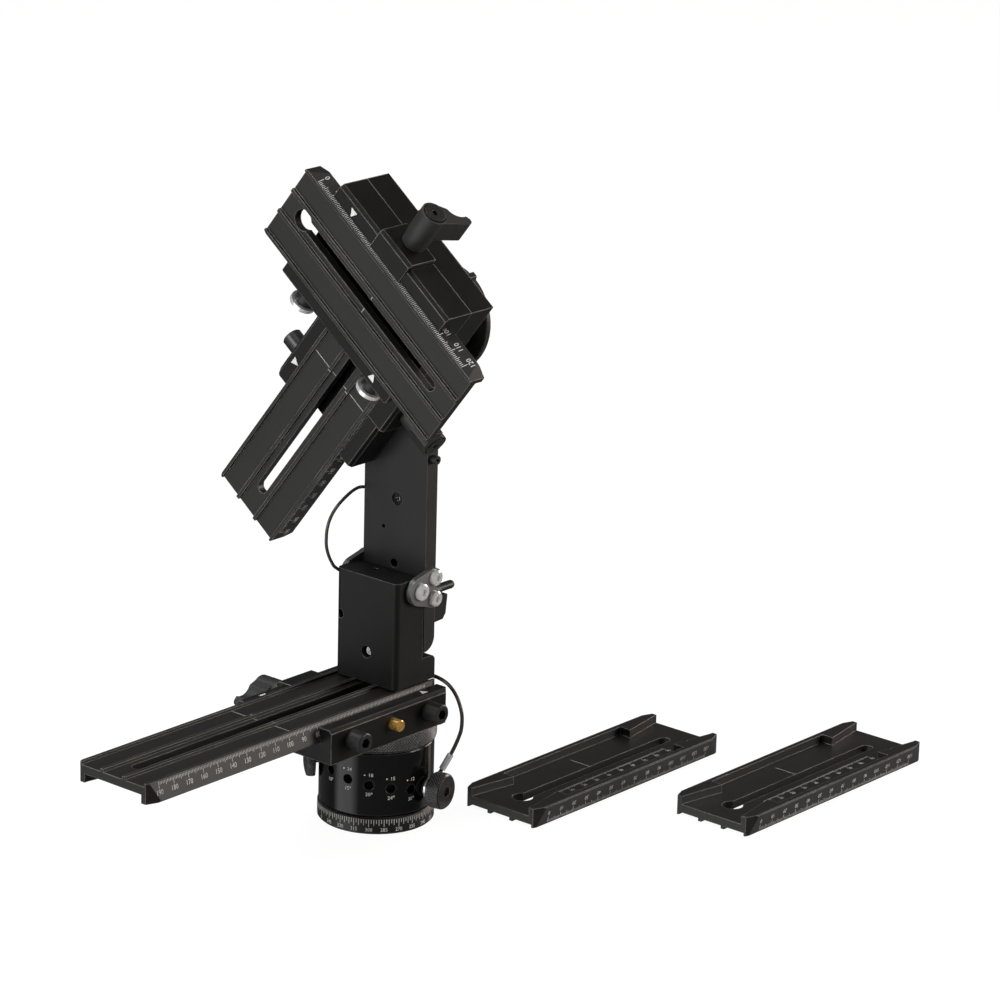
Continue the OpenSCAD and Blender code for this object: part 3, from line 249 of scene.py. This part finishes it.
def metal(name, colour, rough, metallic=0.0, spec=0.5, grain=900.0, grain_depth=0.00002,
          spread=0.15, edge=None, edge_r=0.0004, coat=0.0, core=None):
    """Coated or bare metal: fine grain, uneven sheen and lighter edges, partly rubbed bare and
    partly painted highlight.
    """
    n = Nodes(name)
    out = n.add("ShaderNodeOutputMaterial")
    bsdf = n.add("ShaderNodeBsdfPrincipled", Metallic=metallic, Specular_IOR_Level=spec,
                 Coat_Weight=coat, Coat_Roughness=COAT_ROUGH)
    n.link(bsdf.outputs["BSDF"], out.inputs["Surface"])
    place = n.add("ShaderNodeTexCoord").outputs["Object"]
    fine_noise = n.add("ShaderNodeTexNoise", Scale=grain, Detail=3.0, Roughness=0.6)
    wide_noise = n.add("ShaderNodeTexNoise", Scale=WIDE_NOISE, Detail=4.0, Roughness=0.55)
    n.link(place, fine_noise.inputs["Vector"])
    n.link(place, wide_noise.inputs["Vector"])
    fine, wide = fine_noise.outputs["Fac"], wide_noise.outputs["Fac"]
    low = tuple(c * (1 - spread) for c in colour)
    high = tuple(min(c * (1 + spread), 1) for c in colour)
    tone = n.ramp(wide, [(0.3, low), (0.7, high)])
    # Painted shade on a recessed screw's head, outside its lit core
    if core:
        tone = paint_socket_shade(n, place, tone, core)
    # Lighter edges: partly rubbed bare metal, partly painted highlight
    if edge:
        tone = n.blend(rubbed_and_lit_edges(n, wide, edge_r), tone, edge)
    n.link(tone, bsdf.inputs["Base Color"])
    sheen = n.ramp(wide, [(0.25, rough * 0.88), (0.75, min(rough * 1.14, 1))])
    n.link(sheen, bsdf.inputs["Roughness"])
    bump = n.add("ShaderNodeBump", Strength=GRAIN_STRENGTH, Distance=grain_depth)
    n.link(fine, bump.inputs["Height"])
    if edge:
        soft = n.add("ShaderNodeBevel", Radius=edge_r)
        n.link(soft.outputs["Normal"], bump.inputs["Normal"])
    n.link(bump.outputs["Normal"], bsdf.inputs["Normal"])
    return n.mat


def bright_steel(name, core=None):
    return metal(name, grey(0.90), 0.16, metallic=0.6, grain=700, spread=0.08, core=core)


# Each edge colour below is partly rubbed bare metal and partly painted highlight; on the knurl it
# is painted glints on the tips.
ANODISED = metal("anodised_black_look", grey(0.007, 0.09), 0.40, spec=0.5,
                 edge=grey(0.32, 0.06), edge_r=0.0007)
CLAMP = metal("clamp_black_look", grey(0.004, 0.05), 0.36, spec=0.28,
              edge=grey(0.42, 0.05), edge_r=0.0008)
DARK_BLOCK = metal("block_black_look", grey(0.005, 0.02), 0.46, spec=0.28, grain=1400,
                   edge=grey(0.20, 0.05), edge_r=0.0006)
BLOCK = metal("anodised_matt_look", grey(0.008, 0.02), 0.46, spec=0.42, grain=1400,
              edge=grey(0.20, 0.05), edge_r=0.0006)
BEVEL = metal("scale_bevel_look", grey(0.024, 0.03), 0.46, spec=0.4, grain=1200,
              edge=grey(0.2, 0.03), edge_r=0.0003)
DRUM = metal("gloss_drum_look", grey(0.003), 0.12, spec=0.4, coat=0.2, grain=400,
             grain_depth=0.0000001, edge=grey(0.2), edge_r=0.0006)
KNURLED = metal("knurled_look", grey(0.012, 0.04), 0.26, spec=0.8, edge=grey(0.32), edge_r=0.0003)
LEVER = metal("lever_look", grey(0.020, 0.02), 0.46, spec=0.45, grain=1500, grain_depth=0.00004,
              edge=grey(0.12, 0.02), edge_r=0.0005)
OXIDE = metal("black_oxide_look", grey(0.022), 0.34, metallic=0.3, spec=0.5,
              edge=grey(0.12), edge_r=0.0003)
STEEL = bright_steel("bright_steel_look")
# The index rings are grey metal painted dark as the shade inside the index holes
SHADED_RINGS = metal("index_rings_shaded_look", grey(0.10), 0.3, metallic=0.6, grain=700, spread=0.2)
CAST = metal("blasted_silver_look", grey(0.20), 0.38, metallic=0.8, grain=2200,
             grain_depth=0.00006, spread=0.08, edge=grey(0.6), edge_r=0.0003)
BRASS = metal("brass_look", (0.82, 0.48, 0.13), 0.22, metallic=0.75, grain=900, spread=0.1)
BRONZE = metal("bronze_look", (0.5, 0.32, 0.15), 0.42, metallic=1.0, grain=1800, spread=0.2)
CORD = metal("cord_look", grey(0.045, 0.1), 0.32, spec=0.5, grain=1500, grain_depth=0.0001)
PRINT = metal("white_print_look", grey(0.72), 0.6, grain=1500, spread=0.12)
SCRIBE = metal("scribed_look", grey(0.45), 0.5, grain=1500, spread=0.2)
RULE = metal("rule_print_look", grey(0.50), 0.6, grain=1500, spread=0.2)

# Look of each material slot, and of the nodes that differ from their slot
SLOT_LOOKS = {
    "anodised_black": ANODISED, "gloss_drum": DRUM, "knurled_black": KNURLED,
    "lever_charcoal": LEVER, "black_steel": OXIDE, "bright_steel": STEEL, "cast_silver": CAST,
    "brass": BRASS, "bronze": BRONZE, "cord": CORD,
}
NODE_LOOKS = {
    "upright": BLOCK, "tilt_housing": BLOCK, "tilt_disc": BLOCK, "hinge_block": DARK_BLOCK,
    "base_clamp": CLAMP, "tilt_clamp": CLAMP, "cross_clamp": CLAMP, "cross_plate": CLAMP,
    "base_jaw": CLAMP, "tilt_jaw": CLAMP, "cross_jaw": CLAMP,
    "latch_rod": OXIDE, "index_rings": SHADED_RINGS,
}
# Screws deep in a hole: the radius of what catches light in the foremost screw's head. Outside it
# the head is painted dark as the hole's shade.
SOCKET_RADII = {"upright_screw": 0.0015, "block_screws": 0.0021}
FRONT_DEPTH = 0.0002


def front_axis(node):
    """Where the axis of a node's foremost screw lies, in the node's own coordinates."""
    points = [v.co for v in frame["nodes"][node].data.vertices]
    front = min(p.x for p in points) + FRONT_DEPTH
    near = [p for p in points if p.x < front]
    mid = [(min(p[i] for p in near) + max(p[i] for p in near)) / 2 for i in (1, 2)]
    return Vector((0, mid[0], mid[1]))


# These screws' looks hold painted shade round the lit core of the head
for node, radius in SOCKET_RADII.items():
    NODE_LOOKS[node] = bright_steel(node + "_look", core=(front_axis(node), radius))

for part in frame["record"]["subparts"]:
    look = NODE_LOOKS.get(part["node"], SLOT_LOOKS[part["material_slot"]])
    for held in frame["nodes"][part["node"]].material_slots:
        held.material = look

make_cord("index_tether_line", INDEX_TETHER, INDEX_TETHER_THICK, "rotator", "index_tether", CORD)
make_cord("fold_tether_line", FOLD_TETHER, FOLD_TETHER_THICK, "lower_rail_body", "fold_tether",
          CORD)

# ---------------------------------------------------------------- marks (mm)
DISC_SIDES = 16
RING_SIDES = 20
FONT_SCALE = 1.42


def circle_points(sides):
    """Points of the unit circle."""
    turns = [2 * math.pi * i / sides for i in range(sides)]
    return [(math.cos(turn), math.sin(turn)) for turn in turns]


class Marks:
    """Flat marks gathered into one mesh that rides on a body. Each is placed by a function
    from (x, y) to a point."""

    def __init__(self, name, body, material, slot="anodised_black"):
        self.name, self.body, self.material, self.slot = name, body, material, slot
        self.verts, self.faces = [], []

    def shape(self, points, faces, place):
        base = len(self.verts)
        self.verts += [place(x, y) for x, y in points]
        self.faces += [[base + i for i in face] for face in faces]

    def rect(self, x0, y0, x1, y1, place):
        self.shape([(x0, y0), (x0, y1), (x1, y0), (x1, y1)], [(0, 2, 3, 1)], place)

    def disc(self, x, y, r, place):
        pts = [(x + r * c, y + r * s) for c, s in circle_points(DISC_SIDES)]
        self.shape(pts, [list(range(DISC_SIDES))], place)

    def ring(self, x, y, r0, r1, place):
        pts = []
        for c, s in circle_points(RING_SIDES):
            pts += [(x + r0 * c, y + r0 * s), (x + r1 * c, y + r1 * s)]
        faces = []
        for i in range(0, 2 * RING_SIDES, 2):
            after = (i + 2) % (2 * RING_SIDES)
            faces.append((i, i + 1, after + 1, after))
        self.shape(pts, faces, place)

    def text(self, words, x, y, height, place, width=1.0):
        """Centred text. width narrows its letters."""
        data = bpy.data.curves.new("number", "FONT")
        data.body = words
        data.size = height * FONT_SCALE
        data.align_x = "CENTER"
        data.align_y = "CENTER"
        data.resolution_u = 2
        tmp = add_object("number", data)
        bpy.context.view_layer.update()
        depsgraph = bpy.context.evaluated_depsgraph_get()
        mesh = bpy.data.meshes.new_from_object(tmp.evaluated_get(depsgraph))
        pts = [(x + v.co.x * width, y + v.co.y) for v in mesh.vertices]
        self.shape(pts, [list(p.vertices) for p in mesh.polygons], place)
        bpy.data.meshes.remove(mesh)
        bpy.data.objects.remove(tmp)
        bpy.data.curves.remove(data)

    def build(self):
        mesh = bpy.data.meshes.new(self.name)
        mesh.from_pydata([tuple(v * MM) for v in self.verts], [], self.faces)
        mesh.materials.append(self.material)
        obj = add_object(self.name, mesh)
        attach(obj, self.body)


LIFT = 0.035
SKIN_LIFT = 0.012


def flat(origin, right, up, lift=LIFT):
    """Places (x, y) on a plane, just proud of it."""
    right, up = right.normalized(), up.normalized()
    normal = right.cross(up)
    return lambda x, y: origin + right * x + up * y + normal * lift


def wrapped(radius, turn, z0):
    """Places (x, y) round a drum: x is arc length from turn (degrees), y is height."""
    def place(x, y):
        a = math.radians(turn) + x / radius
        r = radius + LIFT
        return Vector((r * math.cos(a), r * math.sin(a), z0 + y))
    return place


# The tilted arm's frame: U runs down along the camera rail, V up along the middle rail
LEAN = math.radians(38)
AXIS_U = Vector((0, -math.cos(LEAN), -math.sin(LEAN)))
AXIS_V = Vector((0, -math.sin(LEAN), math.cos(LEAN)))
TILT_AT = Vector((0, 0, 256))


def arm(u, v, x):
    return TILT_AT + AXIS_U * u + AXIS_V * v + AXIS_X * x


# A rail's section: height, and half its width at the foot and at the face
RAIL_H, FOOT_HALF, FACE_HALF = 10.5, 25.25, 23.0
BEVEL_LEAN = math.atan2(FOOT_HALF - FACE_HALF, RAIL_H)
BEVEL_LEN = math.hypot(FOOT_HALF - FACE_HALF, RAIL_H)
CORNER_SLANT = 6.0
GROOVE_DROP = 1.6
# The lighter face under a rule starts this far up the bevel, and stops short of its edges
SKIN_FOOT, SKIN_TOP_GAP, SKIN_END_GAP = 0.9, 0.2, 0.25

LINE_HALF, CAMERA_LINE_HALF, SPARE_LINE_HALF = 0.17, 0.2, 0.18
TICK_HALF = 0.14
RULE_TICKS = (1.5, 2.3, 3.3)
RULE_WIDTH = 0.88


def rule(marks, place, length, top, label_y, height, flip=-1, ticks=RULE_TICKS):
    """A millimetre rule along x, towards -x if flip is -1. Its ticks of 1, 5 and 10 mm are as
    long as ticks says and hang from y = top. Its numbers are height tall, at y = label_y."""
    for s in range(length + 1):
        size = ticks[2] if s % 10 == 0 else ticks[1] if s % 5 == 0 else ticks[0]
        marks.rect(flip * s - TICK_HALF, top - size, flip * s + TICK_HALF, top, place)
        if s % 10 == 0:
            marks.text(str(s), flip * s, label_y, height, place, RULE_WIDTH)


def bevel_place(foot_point, along, side, face, lift=LIFT):
    """Plane of a rail's bevel. side points out of the edge, face out of the rail's face."""
    up = face * math.cos(BEVEL_LEAN) - side * math.sin(BEVEL_LEAN)
    return flat(foot_point, along, up, lift)


def bevel_skin(name, body, spot, x0, x1):
    """Lighter face under a rule. x0 and x1 are its ends at the foot, where the rail's corners
    are cut most."""
    skin = Marks(name, body, BEVEL)
    pts = []
    for x, way in ((x0, -1), (x1, 1)):
        for y in (SKIN_FOOT, BEVEL_LEN - SKIN_TOP_GAP):
            pts.append((x + way * (CORNER_SLANT * y / BEVEL_LEN - SKIN_END_GAP), y))
    skin.shape(pts, [(0, 2, 3, 1)], bevel_place(*spot, lift=SKIN_LIFT))
    skin.build()


# Spans across a rail's face, from its middle: slot's edge to land, land, groove beyond it
INNER_GROOVE, LAND, OUTER_GROOVE = (3.3, 6.35), (6.45, 8.35), (8.5, 21.1)


def index_line(name, body, point, along, across, face, top):
    """Thin line over the grooves and the land on both sides of a rail's slot."""
    marks = Marks(name, body, SCRIBE)
    for side in (-1, 1):
        for span, drop in ((OUTER_GROOVE, GROOVE_DROP), (LAND, 0), (INNER_GROOVE, GROOVE_DROP)):
            y0, y1 = sorted(side * y for y in span)
            place = flat(point + face * (top - drop), across, face.cross(across))
            marks.rect(y0, -LINE_HALF, y1, LINE_HALF, place)
    marks.build()


# Lower rail: rule on the near bevel, index line across the face
LOWER_FOOT_Z, LOWER_TOP_Z = 63.9, 74.4
spot = (Vector((9.7, -FOOT_HALF, LOWER_FOOT_Z)), AXIS_X, -AXIS_Y, AXIS_Z)
marks = Marks("lower_rail_rule", "lower_rail_body", RULE)
rule(marks, bevel_place(*spot), length=190, top=10.1, label_y=4.8, height=2.6)
marks.build()
bevel_skin("lower_rail_bevel", "lower_rail_body", spot, x0=-189.7, x1=0.8)
index_line("lower_rail_index", "lower_rail_body", Vector((-85, 0, 0)), AXIS_X, AXIS_Y, AXIS_Z,
           LOWER_TOP_Z)

# Middle rail: the same. Its face points to -X.
spot = (arm(FOOT_HALF, 60.5, 0.4), AXIS_V, AXIS_U, -AXIS_X)
marks = Marks("middle_rail_rule", "middle_body", RULE)
rule(marks, bevel_place(*spot), length=190, top=10.1, label_y=4.8, height=2.6)
marks.build()
bevel_skin("middle_rail_bevel", "middle_body", spot, x0=-190.2, x1=0.3)
index_line("middle_rail_index", "middle_body", arm(0, -34.8, 0), -AXIS_V, AXIS_U, -AXIS_X, 10.1)

# Camera rail: rule on the upper bevel, index line only beside the slot
CAMERA_RAIL_V = 40.9
spot = (arm(-54.5, CAMERA_RAIL_V + FOOT_HALF, -35.7), -AXIS_U, AXIS_V, -AXIS_X)
marks = Marks("camera_rail_rule", "camera_rail_body", PRINT)
rule(marks, bevel_place(*spot), length=120, top=10.2, label_y=3.9, height=2.9,
     ticks=(2.0, 2.9, 4.0))
marks.build()
bevel_skin("camera_rail_bevel", "camera_rail_body", spot, x0=-120.6, x1=1.2)
marks = Marks("camera_rail_index", "camera_rail_body", SCRIBE)
for side in (-1, 1):
    y0, y1 = sorted(side * y for y in INNER_GROOVE)
    marks.rect(y0, -CAMERA_LINE_HALF, y1, CAMERA_LINE_HALF,
               flat(arm(5.2, CAMERA_RAIL_V, -44.6), AXIS_V, -AXIS_U))
marks.build()

# Loose rails, feet up: rule beside the slot, rule on the near bevel, short index line
WEB_Z = 6.0
for name, x, y in (("a", 116.5, -49.5), ("b", 184.0, -134.5)):
    body = "spare_rail_" + name + "_body"
    marks = Marks("spare_rule_" + name, body, RULE)
    beside = flat(Vector((x - 42.5, y - 7.9, WEB_Z)), AXIS_X, AXIS_Y)
    rule(marks, beside, length=90, top=0, label_y=-4.3, height=2.2, flip=1,
         ticks=(1.2, 1.8, 2.6))
    spot = (Vector((x - 65.5, y - FOOT_HALF, RAIL_H)), -AXIS_X, -AXIS_Y, -AXIS_Z)
    rule(marks, bevel_place(*spot), length=130, top=10.0, label_y=4.5, height=2.3)
    marks.build()
    bevel_skin("spare_bevel_" + name, body, spot, x0=-133.5, x1=2.5)
    marks = Marks("spare_index_" + name, body, SCRIBE)
    marks.rect(-SPARE_LINE_HALF, 3.3, SPARE_LINE_HALF, 16.5,
               flat(Vector((x, y, WEB_Z)), AXIS_X, AXIS_Y))
    marks.build()

# Pointers on the clamps: two triangles each, that point at the rail
POINTER_AT, POINTER_HALF, POINTER_FOOT, POINTER_TIP = 30, 2.3, 28.6, 24.4


def pointers(name, body, origin, along, across):
    marks = Marks(name, body, PRINT)
    for side, order in ((-1, [0, 1, 2]), (1, [0, 2, 1])):
        place = flat(origin - along * (POINTER_AT * side), along, across)
        foot, tip = side * POINTER_FOOT, side * POINTER_TIP
        marks.shape([(-POINTER_HALF, foot), (POINTER_HALF, foot), (0, tip)], [order], place)
    marks.build()


CLAMP_H = 18
BASE_CLAMP_X, BASE_CLAMP_Z = -25.5, 54.0
pointers("base_clamp_pointers", "rotator", Vector((BASE_CLAMP_X, 0, BASE_CLAMP_Z + CLAMP_H)),
         AXIS_X, AXIS_Y)
pointers("cross_clamp_pointers", "middle_body", arm(0, CAMERA_RAIL_V, -25.8 - CLAMP_H), AXIS_U,
         AXIS_V)
pointers("tilt_clamp_pointers", "tilt_body", arm(0, -21.7, 10.3 - CLAMP_H), -AXIS_V, AXIS_U)

# Degree scale round the base ring. The first number stands at SCALE_TURN.
BASE_R = 30.1
SCALE_TURN, FIRST_NUMBER = -129.4, 285
TICK_STEP, NUMBER_STEP = 2.5, 15
# Foot of the ticks at each number, at every 5 degrees and between, and the top of all
NUMBER_FOOT, FIVE_FOOT, SHORT_FOOT, TICK_TOP = 4.2, 4.9, 6.0, 8.1
NUMBER_Y, NUMBER_H, NUMBER_WIDTH = 2.5, 2.0, 0.92
marks = Marks("base_ring_scale", "base", PRINT)
for k in range(round(360 / TICK_STEP)):
    foot = SHORT_FOOT if k % 2 else NUMBER_FOOT if k % 6 == 0 else FIVE_FOOT
    place = wrapped(BASE_R, SCALE_TURN + TICK_STEP * k, 0)
    marks.rect(-TICK_HALF, foot, TICK_HALF, TICK_TOP, place)
for k in range(360 // NUMBER_STEP):
    number = (FIRST_NUMBER - NUMBER_STEP * k) % 360
    place = wrapped(BASE_R, SCALE_TURN + NUMBER_STEP * k, 0)
    marks.text(str(number), 0, NUMBER_Y, NUMBER_H, place, NUMBER_WIDTH)
marks.build()

# Stops in a turn over each index hole and the degrees between them under it. The knob hides
# the first hole.
DRUM_R = 29.6
INDEX_TURN, HOLE_TURN_STEP = -79, -22
INDEX_Z, HOLE_Z_STEP = 20.6, 2
INDEX_NUMBER_H = 1.9
STOPS_Y, STEP_Y, DEGREE_SIGN_Y = 5.4, -5.0, -4.3
marks = Marks("index_numbers", "rotator", PRINT, "gloss_drum")
for i, (stops, step) in enumerate(((12, 30), (15, 24), (18, 20), (24, 15), (36, 10)), start=1):
    place = wrapped(DRUM_R, INDEX_TURN + HOLE_TURN_STEP * i, INDEX_Z + HOLE_Z_STEP * i)
    marks.text(str(stops), 0.9, STOPS_Y, INDEX_NUMBER_H, place)
    marks.disc(-2.2, STOPS_Y, 0.42, place)
    marks.text(str(step), -0.4, STEP_Y, INDEX_NUMBER_H, place)
    marks.ring(1.5, DEGREE_SIGN_Y, 0.28, 0.48, place)
marks.build()

# ---------------------------------------------------------------- knurled bands (mm)
CELLS_PER_PITCH = 4
KNURL_LIFT = 0.02
KNURL_SINK = 0.2


def knurled_band(name, body, origin, axis, radius, length, pitch, depth):
    """Diamond knurl round a cylinder: a thin skin whose ridges fade out at both ends."""
    axis = axis.normalized()
    side = axis.orthogonal().normalized()
    third = axis.cross(side)
    cols = CELLS_PER_PITCH * round(2 * math.pi * radius / pitch)
    rows = round(length / pitch * CELLS_PER_PITCH)
    verts, faces = [], []
    for j in range(rows + 1):
        h = length * j / rows
        fade = min(1.0, 8 * min(j, rows - j) / rows)
        for i in range(cols):
            a = 2 * math.pi * i / cols
            p, q = i / CELLS_PER_PITCH, h / pitch
            ridge = min(abs((p + q) % 1 - 0.5), abs((p - q) % 1 - 0.5)) * 2
            r = radius + KNURL_LIFT + depth * ridge * fade - depth * KNURL_SINK
            v = origin + axis * h + side * (r * math.cos(a)) + third * (r * math.sin(a))
            verts.append(tuple(v * MM))
    for j in range(rows):
        for i in range(cols):
            k = (i + 1) % cols
            faces.append((j * cols + i, j * cols + k, (j + 1) * cols + k, (j + 1) * cols + i))
    mesh = bpy.data.meshes.new(name)
    mesh.from_pydata(verts, [], faces)
    mesh.materials.append(KNURLED)
    obj = add_object(name, mesh)
    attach(obj, body)


def outward(degrees):
    """Horizontal direction out of the drum."""
    turn = math.radians(degrees)
    return Vector((math.cos(turn), math.sin(turn), 0))


LOCK_TURN, LOCK_Z = 130, 29.5
INDEX_DIR, LOCK_DIR = outward(INDEX_TURN), outward(LOCK_TURN)
knurled_band("top_ring_knurl", "rotator", AXIS_Z * 44.5, AXIS_Z,
             radius=30.4, length=8.4, pitch=1.7, depth=0.6)
knurled_band("index_knob_knurl", "index_pin_body", INDEX_DIR * 34.8 + AXIS_Z * INDEX_Z, INDEX_DIR,
             radius=9.1, length=6.4, pitch=1.6, depth=0.55)
knurled_band("pan_lock_knurl", "pan_lock", LOCK_DIR * 31.5 + AXIS_Z * LOCK_Z, LOCK_DIR,
             radius=9.3, length=3.9, pitch=1.6, depth=0.55)

# ---------------------------------------------------------------- floor and light (metres)
# Brightness of the floor in mirror reflections, by the direction that it is seen from
GLOSS_SECTORS = [
    (0.0, 0.04), (0.36, 0.06), (0.40, 0.75), (0.475, 0.75),
    (0.52, 0.10), (0.88, 0.04), (0.93, 0.2), (1.0, 0.2),
]
GLOSS_GAIN = 1.8
# Share of the floor's own glow in what the camera sees of it, and its strength. The rest of
# the floor is diffuse and holds the shadow.
FLOOR_GLOW = 0.86
FLOOR_LEVEL = 1.10
FLOOR_TONE = 0.85
FLOOR_SIZE = 14
# The world is white for the camera and this bright as a light
WORLD_LIGHT = 0.10


def seen_directly(tree):
    """1 for what the camera sees, through glass too, and 0 for light that bounces."""
    path = tree.nodes.new("ShaderNodeLightPath")
    seen = tree.nodes.new("ShaderNodeMath")
    seen.operation = "MAXIMUM"
    tree.links.new(path.outputs["Is Camera Ray"], seen.inputs[0])
    tree.links.new(path.outputs["Is Transmission Ray"], seen.inputs[1])
    return seen.outputs["Value"]


def floor_look():
    n = Nodes("floor_look")
    out = n.add("ShaderNodeOutputMaterial")
    diffuse = n.add("ShaderNodeBsdfDiffuse", Color=grey(FLOOR_TONE) + (1,))
    glow = n.add("ShaderNodeEmission", Color=(1, 1, 1, 1), Strength=FLOOR_LEVEL)
    mirrored = n.add("ShaderNodeEmission", Strength=GLOSS_GAIN)
    geo = n.add("ShaderNodeNewGeometry")
    axes = n.add("ShaderNodeSeparateXYZ")
    n.link(geo.outputs["Incoming"], axes.inputs["Vector"])
    turn = n.add("ShaderNodeMath", operation="ARCTAN2")
    n.link(axes.outputs["Y"], turn.inputs[0])
    n.link(axes.outputs["X"], turn.inputs[1])
    part = n.add("ShaderNodeMapRange", From_Min=-math.pi, From_Max=math.pi)
    n.link(turn.outputs["Value"], part.inputs["Value"])
    n.link(n.ramp(part.outputs["Result"], GLOSS_SECTORS), mirrored.inputs["Color"])
    share = n.add("ShaderNodeMath", operation="MULTIPLY")
    share.inputs[1].default_value = FLOOR_GLOW
    n.link(seen_directly(n.tree), share.inputs[0])
    plain = n.switch(share.outputs["Value"], diffuse.outputs["BSDF"], glow.outputs["Emission"])
    path = n.add("ShaderNodeLightPath")
    whole = n.switch(path.outputs["Is Glossy Ray"], plain, mirrored.outputs["Emission"])
    n.link(whole, out.inputs["Surface"])
    return n.mat


def make_floor():
    bpy.ops.mesh.primitive_plane_add(size=FLOOR_SIZE, location=(0.05, 0, -0.0002))
    floor = bpy.context.object
    floor.name = "floor"
    floor.data.materials.append(floor_look())


def make_world():
    world = bpy.data.worlds.new("world")
    bpy.context.scene.world = world
    world.use_nodes = True
    tree = world.node_tree
    back = tree.nodes["Background"]
    back.inputs["Color"].default_value = (1, 1, 1, 1)
    level = tree.nodes.new("ShaderNodeMapRange")
    level.inputs["To Min"].default_value = WORLD_LIGHT
    level.inputs["To Max"].default_value = 1.0
    tree.links.new(seen_directly(tree), level.inputs["Value"])
    tree.links.new(level.outputs["Result"], back.inputs["Strength"])


# Area lights: name, place, size, watts, colour. All aim at the part.
LIGHT_AIM = Vector((0, 0, 0.15))
LIGHTS = [
    ("top", (-0.5, 0.5, 2.4), (1.6, 1.6), 40, (1, 1, 1)),
    ("left", (-2.1, 0.3, 0.9), (0.8, 1.2), 30, (1, 1, 1)),
    ("right", (1.3, -1.9, 0.6), (1.0, 1.0), 32, (1, 0.93, 0.87)),
    ("back", (2.2, -0.3, 0.7), (0.6, 1.2), 15, (1, 0.84, 0.74)),
]


def make_lights():
    for name, at, size, watts, colour in LIGHTS:
        data = bpy.data.lights.new(name, "AREA")
        data.shape = "RECTANGLE"
        data.size, data.size_y = size
        data.energy = watts
        data.color = colour
        light = add_object(name, data)
        light.location = at
        light.rotation_euler = (LIGHT_AIM - Vector(at)).to_track_quat("-Z", "Y").to_euler()


make_floor()
make_world()
make_lights()
bpy.context.scene.view_settings.view_transform = "Standard"
